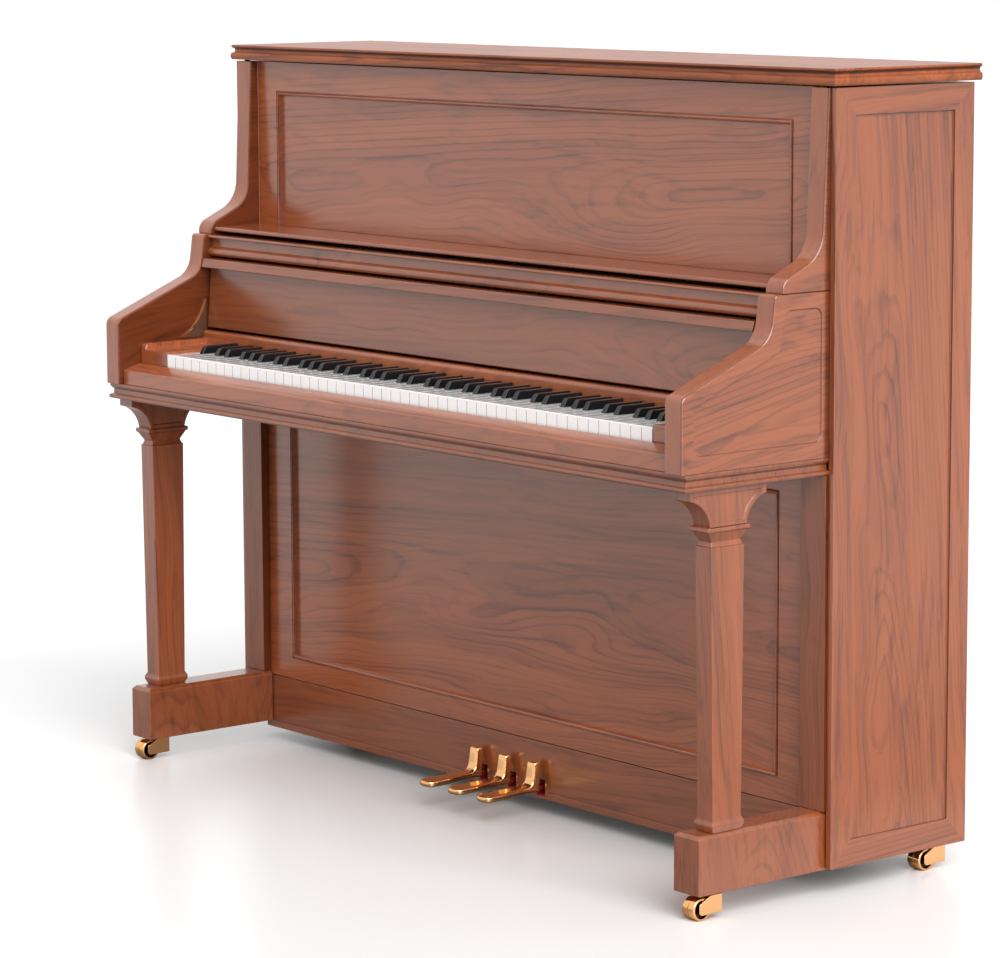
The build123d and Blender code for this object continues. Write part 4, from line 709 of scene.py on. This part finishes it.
def mottled(name, colour, rough, tone=0.1, grain=400.0, spread=0.1, relief=0.05, metal=0.0, coat=0.0):
    """Material with a slow change of tone and fine relief."""
    material, coordinates = new_material(name)
    node = shared_group(material.node_tree, "Surface mottle", make_mottle_group)
    feed_all(
        node, Vector=coordinates, Color=(*colour, 1.0), Tone=tone, Grain=grain, Roughness=rough,
        Spread=spread,
    )
    surface(material, node, node.outputs["Color"], 0.0002, relief)
    feed_all(shader_of(material), Metallic=metal, Coat_Weight=coat, Coat_Roughness=0.05)
    return material


def polished_brass():
    """Brass material shared by pedals, casters, hinges and guard edges."""
    known = bpy.data.materials.get("brass_polish")
    if known:
        return known
    colour = bpy.context.scene.piano_finish.brass
    material = mottled(
        "brass_polish", colour, 0.10, tone=0.10, grain=900.0, spread=0.08, relief=0.03, metal=1.0,
    )
    feed_all(shader_of(material), Specular_Tint=(0.97, 0.80, 0.60, 1.0))
    # Painted shade: the wheels' sunk faces are darkened near to black.
    recolour(material, marked(material, "recess"), PAINTED_RECESS_SHADE)
    return material


def ring_panel(name, low, high, side, top, bottom, thick):
    """Framed panel: flat frame, rounded bead and sunk field. With no bottom border it runs off below."""
    sizes = bpy.context.scene.piano_sizes
    loops = [(low.x, high.x, low.z, high.z, depth) for depth in (thick, 0.0)]
    for share, sink in BEAD_PROFILE:
        inset = share * sizes.bead_width
        edge = side + inset
        foot = low.z if bottom is None else low.z + bottom + inset
        loops.append((low.x + edge, high.x - edge, foot, high.z - top - inset, sink * sizes.field_sink))
    shape = bmesh.new()
    rings = []
    for x0, x1, z0, z1, depth in loops:
        y = low.y + depth
        corners = ((x0, y, z0), (x1, y, z0), (x1, y, z1), (x0, y, z1))
        rings.append([shape.verts.new(corner) for corner in corners])
    for outer, inner in zip(rings, rings[1:]):
        bridge(shape, outer, inner)
    shape.faces.new(rings[-1])
    shape.faces.new(list(reversed(rings[0])))
    bmesh.ops.dissolve_degenerate(shape, dist=0.000001, edges=shape.edges)
    return shaped(name, shape)


def oblong(left, right, foot, top):
    """Corners of a rectangle, in order round it."""
    return [(left, foot), (right, foot), (right, top), (left, top)]


def swept(name, outline, start, end):
    """Solid whose outline in (y, z) runs along X."""
    shape = bmesh.new()
    near, far = ([shape.verts.new((x, y, z)) for y, z in outline] for x in (start, end))
    bridge(shape, near, far)
    shape.faces.new(list(reversed(near)))
    shape.faces.new(far)
    return shaped(name, shape)


def joined(name, pieces):
    """One piece made of several."""
    shape = bmesh.new()
    for piece in pieces:
        shape.from_mesh(piece.data)
        bpy.data.objects.remove(piece)
    return shaped(name, shape, outward=False)


def copies_on_points(name, template, points, material):
    """Copies of a template at points, made with a node tree and turned into plain mesh."""
    cloud = bpy.data.meshes.new(name + "_points")
    cloud.from_pydata(points, [], [])
    holder = new_piece(name, cloud)
    tree = bpy.data.node_groups.get("Copies on points") or make_copies_tree()
    modifier = holder.modifiers.new("Copies", "NODES")
    modifier.node_group = tree
    sockets = {item.name: item.identifier for item in tree.interface.items_tree if item.in_out == "INPUT"}
    for socket, value in (("Template", template), ("Size", 1.0), ("Finish", material)):
        modifier[sockets[socket]] = value
    settle(holder)
    bpy.data.objects.remove(template)
    return holder


def make_copies_tree():
    """Geometry nodes: one copy of a template on each point, realized and given its finish."""
    tree, start, finish = open_group(
        "Copies on points", "GeometryNodeTree",
        (("Geometry", "Geometry"), ("Template", "Object"), ("Size", "Float", 1.0), ("Finish", "Material")),
        (("Geometry", "Geometry"),),
    )
    info = add_node(tree, "GeometryNodeObjectInfo", transform_space="ORIGINAL")
    place = add_node(tree, "GeometryNodeInstanceOnPoints")
    real = add_node(tree, "GeometryNodeRealizeInstances")
    paint = add_node(tree, "GeometryNodeSetMaterial")
    feed_all(info, Object=start.outputs["Template"])
    feed_all(
        place, Points=start.outputs["Geometry"], Instance=info.outputs["Geometry"],
        Scale=start.outputs["Size"],
    )
    feed_all(real, Geometry=place.outputs["Instances"])
    feed_all(paint, Geometry=real.outputs["Geometry"], Material=start.outputs["Finish"])
    feed_all(finish, Geometry=paint.outputs["Geometry"])
    return tree


class PIANO_OT_case(bpy.types.Operator):
    """Finish the cabinet's sides, arms, stiles, legs, rails and lid"""

    bl_idname = "piano.case"
    bl_label = "Finish the cabinet"

    def execute(self, context):
        width = context.scene.piano_sizes.case_round
        for hand, sign in zip(("left", "right"), BOTH_WAYS):
            self.end(hand, sign, width)
        # The stile walnut is toned down partly as painted shade, and its faces that look along X get painted
        # shade.
        stile = walnut("walnut_stile", "z", (0.0, 0.10, 0.0), tone=0.84, strength=0.28, shine=0.7)
        paint_wall_shade(stile, 0.6, PAINTED_STILE_SHADE)
        mark_walls(softened("lower_stiles", stile, width))
        toe = walnut("walnut_toe", "z", (0.60, -0.13, 0.0), tilt=9.0, along=0.7, tone=0.90, strength=0.30)
        softened("toe_blocks", toe, width)
        lid = walnut("walnut_lid", "x", (0.1, 0.14, 1.14), tilt=1.5, along=1.3, tone=1.12, shine=0.35)
        # Painted shade on the downward faces of the lid's cove.
        recolour(lid, marked(lid, "hollow"), PAINTED_COVE_SHADE)
        piece = softened("top_lid", lid, width * 0.6)
        bead_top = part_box("top_lid")[0].z + LID_BEAD
        mark_faces(piece, "hollow", lambda face: face.normal.z < -HOLLOW_LEAN and face.center.z > bead_top)
        # Each piece gets its own tone of walnut: the darker rail and moulding partly stand in as painted
        # shade on the lower front, the lighter slip as painted light.
        for node, height, shift, tone in (
            ("bottom_rail", 0.03, 2.1, 0.88), ("key_bed_moulding", 0.60, 2.9, 0.78),
            ("key_slip", 0.63, 3.4, 1.08), ("fallboard_rail", 0.84, 4.2, 0.92),
            ("music_shelf", 0.86, 5.1, 0.88), ("key_bed", 0.58, 5.7, 0.88), ("key_surround", 0.66, 6.3, 1.15),
        ):
            wood = walnut("walnut_" + node, "x", (0.0, 0.05, height), along=shift, tone=tone, strength=0.28)
            softened(node, wood, width * 0.7)
        return {"FINISHED"}

    def end(self, hand, sign, width):
        """Side, arm and leg at one end of the case."""
        low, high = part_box("side_" + hand)
        outside = high.x if sign > 0.0 else -low.x
        heart = (sign * (outside - HEART_DEPTH), 0.13, 0.0)
        side = bordered_walnut("walnut_side_" + hand, low, high, SIDE_BORDER, heart)
        paint_step_shade(softened("side_" + hand, side, width), side, sign, SIDE_SINK)
        arm = banded_walnut("walnut_arm_" + hand, (sign * 0.66, -0.12, 0.72), 0.2 * sign, low.y)
        piece = softened("arm_" + hand, arm, width)
        mark_faces(piece, "inner", lambda face: face.normal.x * sign < -WALL_LEAN)
        mark_faces(piece, "outer", lambda face: face.normal.x * sign > WALL_LEAN)
        paint_step_shade(piece, arm, sign, ARM_SINK)
        leg = walnut(
            "walnut_leg_" + hand, "z", (sign * 0.64, -0.30, 0.0), along=0.4 * sign, tone=0.94, strength=0.26,
        )
        softened("leg_" + hand, leg, width, segments=3)


class PIANO_OT_panels(bpy.types.Operator):
    """Build the upper panel and the knee panel with their bead mouldings"""

    bl_idname = "piano.panels"
    bl_label = "Build the panels"

    def execute(self, context):
        for node, side, top, bottom, thick, centre, shift in (
            ("upper_panel", 0.052, 0.048, None, 0.018, 1.03, 0.9),
            ("knee_panel", 0.078, 0.035, 0.035, 0.020, 0.36, 1.9),
        ):
            low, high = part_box(node)
            heart = (0.25, low.y + HEART_DEPTH, centre)
            wood = walnut("walnut_" + node, "x", heart, tilt=2.0, along=shift, tone=1.12)
            # Painted shade on the bead walls and edges that look along X.
            paint_wall_shade(wood, 0.85, PAINTED_BEAD_SHADE)
            panel = settle(ring_panel(node + "_finished", low, high, side, top, bottom, thick), 40.0)
            mark_walls(panel)
            dress(panel, wood, "case", "cabinet_wood", node)
        return {"FINISHED"}


class PIANO_OT_fallboard(bpy.types.Operator):
    """Finish the fallboard and its end plates with their brass edges"""

    bl_idname = "piano.fallboard"
    bl_label = "Finish the fallboard"

    def execute(self, context):
        sizes = context.scene.piano_sizes
        heart = (0.1, -0.04, 0.79)
        wood = walnut("walnut_fallboard", "x", heart, tilt=1.5, along=7.1, tone=0.8, strength=0.28)
        softened("fallboard", wood, sizes.case_round)
        dark = mottled("guard_stain", (0.085, 0.036, 0.018), 0.35, tone=0.3, grain=600.0)
        softened("fallboard_plates", dark, 0.0004, "dark_guard")
        low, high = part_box("fallboard_plates")
        top = Vector((high.y, high.z))
        chord = Vector((low.y, low.z)) - top
        normal = Vector((chord.y, -chord.x)).normalized()
        if normal.x > 0.0:
            normal = -normal
        points = []
        for index in range(EDGE_STEPS + 1):
            share = index / EDGE_STEPS
            points.append(top + chord * share - normal * EDGE_SAG * 4.0 * share * (1.0 - share))
        outline = [point + normal * sizes.edge_strip for point in points] + points[::-1]
        strips = [
            swept("guard_edge", outline, sign * (high.x - EDGE_WIDTH), sign * high.x) for sign in BOTH_WAYS
        ]
        edge = settle(joined("fallboard_plate_edges", strips), 40.0)
        dress(edge, polished_brass(), "case", "polished_brass")
        return {"FINISHED"}


class PIANO_OT_keys(bpy.types.Operator):
    """Finish the white keys and set the black keys on their places"""

    bl_idname = "piano.keys"
    bl_label = "Finish the keys"

    def execute(self, context):
        finish = context.scene.piano_finish
        sizes = context.scene.piano_sizes
        low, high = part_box("keys_c")
        ivory = self.covered(finish.ivory, finish.spruce_dark, high.z - sizes.key_cover)
        ebony = mottled(
            "key_ebony", finish.ebony, 0.10, tone=0.2, grain=500.0, spread=0.06, relief=0.02, coat=0.3,
        )
        feed_all(shader_of(ebony), Specular_IOR_Level=0.3)
        for covering in (ivory, ebony):
            tail = math_node("GREATER_THAN", place_along(covering, "Y"), low.y + sizes.cover_length)
            recolour(covering, tail, finish.spruce_light, "MIX")
        for note in WHITE_NOTES:
            self.white_row("keys_" + note, ivory, sizes)
        for note in BLACK_NOTES:
            self.black_row("keys_" + note, ebony)
        return {"FINISHED"}

    def covered(self, colour, timber, edge):
        """White covering on the key's top and front, bare timber on its flanks below the covering's edge,
        darkened as painted shade.
        """
        material = mottled(
            "key_ivory", colour, 0.12, tone=0.03, grain=250.0, spread=0.05, relief=0.01, coat=1.0,
        )
        below = math_node("LESS_THAN", place_along(material, "Z"), edge)
        # Painted shade: the flanks below the covering take a third of the timber's dark colour, for the gaps
        # between keys.
        recolour(material, times(below, marked(material, "flank")), *toned(0.3, timber))
        return material

    def white_row(self, node, material, sizes):
        """White keys of one name, with their coverings spread to a fine gap."""
        mesh = merged_mesh(node)
        spread = {}
        for face in mesh.polygons:
            if abs(face.normal.x) > FLANK_LEAN:
                for corner in face.vertices:
                    spread[corner] = math.copysign(sizes.cover_lap, face.normal.x)
        for corner, shift in spread.items():
            mesh.vertices[corner].co.x += shift
        keys = round_edges(new_piece(node + "_finished", mesh), sizes.key_round)
        mark_faces(keys, "flank", lambda face: abs(face.normal.x) > FLANK_LEAN)
        dress(keys, material, body_of_node(node), "white_key", node)

    def black_row(self, node, material):
        """Black keys of one name: a sloped, rounded cap on a stick, copied to each place."""
        low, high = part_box(node)
        corners = [vertex.co for vertex in merged_mesh(node).vertices]
        crest = [corner for corner in corners if corner.z > high.z - 0.0001]
        groups = []
        for x in sorted(corner.x for corner in crest):
            if groups and x - groups[-1][-1] < BLACK_APART:
                groups[-1].append(x)
            else:
                groups.append([x])
        points = [((group[0] + group[-1]) / 2, 0.0, 0.0) for group in groups]
        template = self.black_key(low, high, max(corner.y for corner in crest))
        row = copies_on_points(node + "_finished", template, points, material)
        dress(row, material, body_of_node(node), "black_key", node)

    def black_key(self, low, high, back):
        """One black key at X = 0."""
        sink = low.z + BLACK_STICK
        crown = BLACK_HALF - 0.0013
        rows = (
            (low.y, sink, BLACK_HALF), (low.y + 0.0003, sink + 0.0012, BLACK_HALF),
            (low.y + 0.0078, high.z - 0.0020, crown + 0.0004), (low.y + 0.0096, high.z - 0.0005, crown),
            (low.y + 0.0125, high.z, crown), (back - 0.0012, high.z, crown), (back, high.z - 0.0012, crown),
            (back, sink, BLACK_HALF),
        )
        shape = bmesh.new()
        left, right = [], []
        for y, z, half in rows:
            left.append(shape.verts.new((-half, y, z)))
            right.append(shape.verts.new((half, y, z)))
        for index in range(len(rows) - 1):
            shape.faces.new((left[index], right[index], right[index + 1], left[index + 1]))
        shape.faces.new(left)
        shape.faces.new(list(reversed(right)))
        shape.faces.new((left[0], left[-1], right[-1], right[0]))
        stick = bmesh.ops.create_cube(shape, size=1.0)["verts"]
        scale = Matrix.Diagonal((2 * BLACK_HALF, high.y - low.y, sink - low.z, 1.0))
        place = Matrix.Translation((0.0, (low.y + high.y) / 2, (low.z + sink) / 2))
        bmesh.ops.transform(shape, matrix=place @ scale, verts=stick)
        return round_edges(shaped("black_key_shape", shape), BLACK_ROUND, 2, 25.0)


class PIANO_OT_pedals(bpy.types.Operator):
    """Finish the pedals and line their slots with felt"""

    bl_idname = "piano.pedals"
    bl_label = "Finish the pedals"

    def execute(self, context):
        felt = context.scene.piano_sizes.felt
        green = mottled("green_felt", (0.030, 0.230, 0.080), 0.9, tone=0.4, grain=1400.0, relief=0.5)
        red = mottled("red_felt", (0.34, 0.012, 0.018), 0.9, tone=0.4, grain=1400.0, relief=0.5)
        rail_low, rail_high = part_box("bottom_rail")
        depth = (rail_low.y + SLOT_SHY, rail_high.y - SLOT_SHY)
        roof = SLOT_HIGH - felt
        tops, cheeks = [], []
        for name in PEDALS:
            middle = self.cast("pedal_" + name)
            strip = oblong(*depth, roof, SLOT_HIGH)
            tops.append(swept("felt", strip, middle - SLOT_HALF, middle + SLOT_HALF))
            for sign in BOTH_WAYS:
                edge = middle + sign * SLOT_HALF
                cheeks.append(swept("felt", oblong(*depth, SLOT_LOW, roof), edge - sign * felt * 0.6, edge))
            sole = oblong(*depth, SLOT_LOW, SLOT_LOW + felt)
            cheeks.append(swept("felt", sole, middle - SOLE_HALF, middle + SOLE_HALF))
        for name, pieces, cloth in (("slot_felt_tops", tops, green), ("slot_felt_cheeks", cheeks, red)):
            dress(round_edges(joined(name, pieces), FELT_ROUND), cloth, "case", "dark_guard")
        return {"FINISHED"}

    def cast(self, node):
        """Pedal with the soft corners of a polished casting. Gives the place of its middle along X."""
        piece = new_piece(node + "_finished", merged_mesh(node))
        skin = piece.modifiers.new("Casting", "REMESH")
        skin.mode = "VOXEL"
        skin.voxel_size = CAST_VOXEL
        polish = piece.modifiers.new("Polish", "SMOOTH")
        polish.factor = 0.5
        polish.iterations = CAST_PASSES
        settle(piece, 80.0)
        low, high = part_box(node)
        middle = (low.x + high.x) / 2
        for corner in piece.data.vertices:
            rise = max(corner.co.z - NECK_FOOT, 0.0)
            corner.co.y += rise * NECK_LEAN
            corner.co.x = middle + (corner.co.x - middle) * (1.0 - rise * NECK_TAPER)
        dress(piece, polished_brass(), body_of_node(node), "polished_brass", node)
        return middle


class PIANO_OT_casters(bpy.types.Operator):
    """Finish the brass casters"""

    bl_idname = "piano.casters"
    bl_label = "Finish the casters"

    def execute(self, context):
        width = context.scene.piano_sizes.brass_round
        for place in CASTERS:
            softened("caster_fork_" + place, polished_brass(), width, "polished_brass")
            self.wheel("caster_wheel_" + place)
        return {"FINISHED"}

    def wheel(self, node):
        """Wheel turned with a grooved tread and a sunk face inside each rim, marked for painted shade."""
        low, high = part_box(node)
        centre = (low + high) / 2
        half = (high.x - low.x) / 2
        rim = (high.z - low.z) / 2
        profile = [
            (half - 0.0004, 0.0032), (half - 0.0004, 0.0058), (half - 0.0040, 0.0066),
            (half - 0.0040, rim - 0.0042), (half - 0.0006, rim - 0.0036), (half, rim - 0.0030),
            (half, rim - 0.0014), (half - 0.0005, rim - 0.0005), (half - 0.0015, rim), (0.0011, rim),
            (0.0009, rim - 0.0010),
        ]
        profile += [(-x, radius) for x, radius in reversed(profile)]
        count = len(profile)
        recess = (1, 2, 3, count - 5, count - 4, count - 3)
        shape = bmesh.new()
        sunk = shape.faces.layers.float.new("recess")
        rings = []
        for step in range(WHEEL_STEPS):
            turn = math.radians(360.0 / WHEEL_STEPS * step)
            spoke = Vector((0.0, math.cos(turn), math.sin(turn)))
            rings.append([
                shape.verts.new(centre + Vector((x, 0.0, 0.0)) + spoke * radius) for x, radius in profile
            ])
        for near, far in zip(rings, rings[1:] + rings[:1]):
            for index, face in enumerate(bridge(shape, near, far)):
                face[sunk] = 1.0 if index in recess else 0.0
        piece = settle(shaped(node + "_finished", shape), 40.0)
        dress(piece, polished_brass(), body_of_node(node), "polished_brass", node)


class PIANO_OT_hinges(bpy.types.Operator):
    """Finish the lid hinges and set their screws"""

    bl_idname = "piano.hinges"
    bl_label = "Finish the hinges"

    def execute(self, context):
        for node, way in (("lid_hinges", 1.0), ("lid_hinge_leaves", -1.0)):
            softened(node, polished_brass(), 0.0003, "polished_brass")
            self.screws(node, way)
        return {"FINISHED"}

    def screws(self, node, way):
        """Four slotted screws in each leaf, heads up or down."""
        low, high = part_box(node)
        flat = low.z + LEAF_THICK if way > 0.0 else high.z - LEAF_THICK
        points = []
        for middle in (low.x + LEAF_HALF, (low.x + high.x) / 2, high.x - LEAF_HALF):
            for across, inward in ((-0.031, 0.010), (-0.012, 0.022), (0.012, 0.022), (0.031, 0.010)):
                points.append((middle + across, low.y + inward, flat))
        row = copies_on_points(node + "_screws", self.screw_head(way), points, polished_brass())
        dress(row, polished_brass(), body_of_node(node), "polished_brass")

    def screw_head(self, way):
        """Round head with a slot across it."""
        brim = way * 0.0003
        pitch = 360.0 / SCREW_STEPS
        shape = bmesh.new()
        turns = [math.radians(pitch * step) for step in range(SCREW_STEPS)]
        rim = [(SCREW_RADIUS * math.cos(turn), SCREW_RADIUS * math.sin(turn)) for turn in turns]
        foot, ledge = ([shape.verts.new((x, y, z)) for x, y in rim] for z in (0.0, brim))
        bridge(shape, foot, ledge)
        shape.faces.new(list(reversed(foot)))
        shape.faces.new(ledge)
        arc = [math.radians(pitch * (step + 0.5)) for step in range(SCREW_STEPS // 2)]
        for side in BOTH_WAYS:
            loops = []
            for radius, squash, rise in ((0.0034, 0.86, brim), (0.0026, 0.82, way * 0.0009)):
                loops.append([
                    shape.verts.new(
                        (radius * math.cos(turn), side * (radius * math.sin(turn) * squash + 0.0004), rise)
                    )
                    for turn in arc
                ])
            bridge(shape, *loops)
            for loop in loops:
                shape.faces.new(loop)
        return shaped("screw_head_shape", shape)


class PIANO_OT_inside(bpy.types.Operator):
    """Give the back frame, soundboard, plate, strings and action their materials"""

    bl_idname = "piano.inside"
    bl_label = "Finish the inside"

    def execute(self, context):
        steel = mottled("wire_steel", (0.55, 0.54, 0.52), 0.28, tone=0.1, grain=900.0, metal=1.0)
        bronze = mottled(
            "plate_bronze", (0.42, 0.27, 0.10), 0.42, tone=0.18, grain=700.0, metal=0.7, relief=0.2,
        )
        felt = mottled("hammer_felt", (0.34, 0.31, 0.26), 0.95, tone=0.25, grain=1500.0, relief=0.6)
        alloy = mottled("action_alloy", (0.50, 0.49, 0.46), 0.38, tone=0.12, grain=700.0, metal=0.9)
        spruce = pale_wood("spruce_board", "z", (0.0, 0.35, 0.6))
        low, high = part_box("back_frame")
        beams = (low.z + BEAM_HEIGHT, high.z - BEAM_HEIGHT)
        posts = pale_wood("maple_posts", "z", (0.2, 0.40, 0.4), 0.82, beams)
        block = pale_wood("maple_block", "x", (0.0, 0.30, 1.0), 0.72)
        # The bottom board is darkened nearly to black as painted shadow below the sides.
        painted_shadow = pale_wood("stained_board", "x", (0.0, 0.20, 0.0), 0.10)
        sticks = ["pedal_stick_" + name for name in PEDALS]
        for material, slot, nodes in (
            (posts, "inner_wood", ("back_frame",)), (spruce, "inner_wood", ("soundboard",)),
            (block, "inner_wood", ("pin_block", "key_frame", "muffler_rail", *sticks)),
            (painted_shadow, "inner_wood", ("bottom_board",)), (felt, "inner_wood", ("hammers", "dampers")),
            (bronze, "plate_iron", ("iron_plate",)), (steel, "string_steel", ("strings", "tuning_pins")),
            (alloy, "action_metal", ("action_frame",)),
        ):
            for node in nodes:
                self.paint(frame["nodes"][node], material, slot)
        return {"FINISHED"}

    def paint(self, piece, material, slot):
        """Give a CAD node's own piece its material. The slot argument is not used."""
        piece.data.materials.clear()
        piece.data.materials.append(material)


class PIANO_OT_stage(bpy.types.Operator):
    """Set the floor, the light and the camera"""

    bl_idname = "piano.stage"
    bl_label = "Set the stage"

    def execute(self, context):
        stage = context.scene.piano_stage
        mesh = bpy.data.meshes.new("floor")
        corners = [(x * FLOOR_REACH, y * FLOOR_REACH, 0.0) for x, y in oblong(-1.0, 1.0, -1.0, 1.0)]
        mesh.from_pydata(corners, [], [(0, 1, 2, 3)])
        floor = new_piece("floor", mesh)
        floor.data.materials.append(self.floor_material(stage.floor))
        context.scene.world = self.world(stage.sky)
        lamp = bpy.data.lights.new("key_lamp", "SUN")
        lamp.energy = stage.key_light
        lamp.angle = stage.key_spread
        holder = bpy.data.objects.new("key_lamp", lamp)
        holder.location = LAMP_PLACE
        holder.rotation_euler = (-holder.location).to_track_quat("-Z", "Y").to_euler()
        context.scene.collection.objects.link(holder)
        self.camera(context.scene, stage)
        context.scene.view_settings.view_transform = "Standard"
        return {"FINISHED"}

    def floor_material(self, colour):
        """Pale floor with a faint gloss, white to the camera. As a reflector it carries painted shade near
        the piano, and painted light in a strip beside the right end, and it throws little light up."""
        material, coordinates = new_material("pale_floor")
        tree = material.node_tree
        path = add_node(tree, "ShaderNodeLightPath")
        camera, glossy = path.outputs["Is Camera Ray"], path.outputs["Is Glossy Ray"]
        away = add_node(tree, "ShaderNodeVectorMath", operation="LENGTH")
        feed(away.inputs[0], coordinates)
        # Painted shade: the floor looks darker in reflections near the piano.
        painted_floor_shade = remap(away.outputs["Value"], 0.4, 4.0, 0.25, 0.95)
        right = place_along(material, "X")
        # Painted light: a bright strip in reflections beside the right end.
        painted_light_beside = times(remap(right, 0.60, 0.78), remap(right, 0.95, 1.2, 1.0, 0.30))
        mirrored = times(glossy, math_node("MAXIMUM", painted_floor_shade, painted_light_beside))
        thrown = times(minus(1.0, plus(camera, glossy, clamp=True)), 0.38)
        level = plus(plus(mirrored, camera), thrown, clamp=True)
        shader = shader_of(material)
        feed_all(shader, Base_Color=scaled_colour(colour, level), Roughness=0.28, Specular_IOR_Level=0.35)
        return material

    def world(self, level):
        """Even light from all round, seen as white."""
        world = bpy.data.worlds.new("studio")
        world.use_nodes = True
        tree = world.node_tree
        tree.nodes.clear()
        output = add_node(tree, "ShaderNodeOutputWorld")
        ground = add_node(tree, "ShaderNodeBackground")
        path = add_node(tree, "ShaderNodeLightPath")
        seen = plus(path.outputs["Is Camera Ray"], path.outputs["Is Glossy Ray"])
        seen = plus(seen, path.outputs["Is Transmission Ray"], clamp=True)
        feed_all(ground, Color=(1.0, 1.0, 1.0, 1.0), Strength=plus(times(seen, 1.0 - level), level))
        feed(output.inputs["Surface"], ground.outputs[0])
        return world

    def camera(self, scene, stage):
        """Camera at the photographed view."""
        data = bpy.data.cameras.new("view")
        data.sensor_width = 36.0
        data.lens = stage.lens
        data.clip_end = 100.0
        camera = bpy.data.objects.new("view", data)
        place = Vector(stage.camera_place)
        forward = (Vector(stage.camera_target) - place).normalized()
        right = forward.cross(Vector((0.0, 0.0, 1.0))).normalized()
        up = right.cross(forward)
        cos, sin = math.cos(stage.camera_roll), math.sin(stage.camera_roll)
        turn = Matrix((right * cos + up * sin, up * cos - right * sin, -forward)).transposed()
        camera.matrix_world = Matrix.Translation(place) @ turn.to_4x4()
        scene.collection.objects.link(camera)
        scene.camera = camera


class PIANO_PT_panel(bpy.types.Panel):
    """Sidebar panel with the piano's steps and settings"""

    bl_idname = "PIANO_PT_panel"
    bl_label = "Upright Piano"
    bl_space_type = "VIEW_3D"
    bl_region_type = "UI"
    bl_category = "Piano"

    def draw(self, context):
        for operator in OPERATORS:
            self.layout.operator(operator.bl_idname)
        for group in (context.scene.piano_finish, context.scene.piano_sizes, context.scene.piano_stage):
            box = self.layout.box()
            for name in group.__annotations__:
                box.prop(group, name)


OPERATORS = (
    PIANO_OT_case, PIANO_OT_panels, PIANO_OT_fallboard, PIANO_OT_keys, PIANO_OT_pedals, PIANO_OT_casters,
    PIANO_OT_hinges, PIANO_OT_inside, PIANO_OT_stage,
)
CLASSES = (PianoFinish, PianoSizes, PianoStage, *OPERATORS, PIANO_PT_panel)


def register():
    """Register the classes and their settings."""
    for entry in CLASSES:
        bpy.utils.register_class(entry)
    bpy.types.Scene.piano_finish = PointerProperty(type=PianoFinish)
    bpy.types.Scene.piano_sizes = PointerProperty(type=PianoSizes)
    bpy.types.Scene.piano_stage = PointerProperty(type=PianoStage)


def unregister():
    """Take the classes and their settings away."""
    del bpy.types.Scene.piano_stage
    del bpy.types.Scene.piano_sizes
    del bpy.types.Scene.piano_finish
    for entry in reversed(CLASSES):
        bpy.utils.unregister_class(entry)


def main():
    """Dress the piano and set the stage."""
    register()
    bpy.ops.piano.case()
    bpy.ops.piano.panels()
    bpy.ops.piano.fallboard()
    bpy.ops.piano.keys()
    bpy.ops.piano.pedals()
    bpy.ops.piano.casters()
    bpy.ops.piano.hinges()
    bpy.ops.piano.inside()
    bpy.ops.piano.stage()


if __name__ == "__main__":
    main()
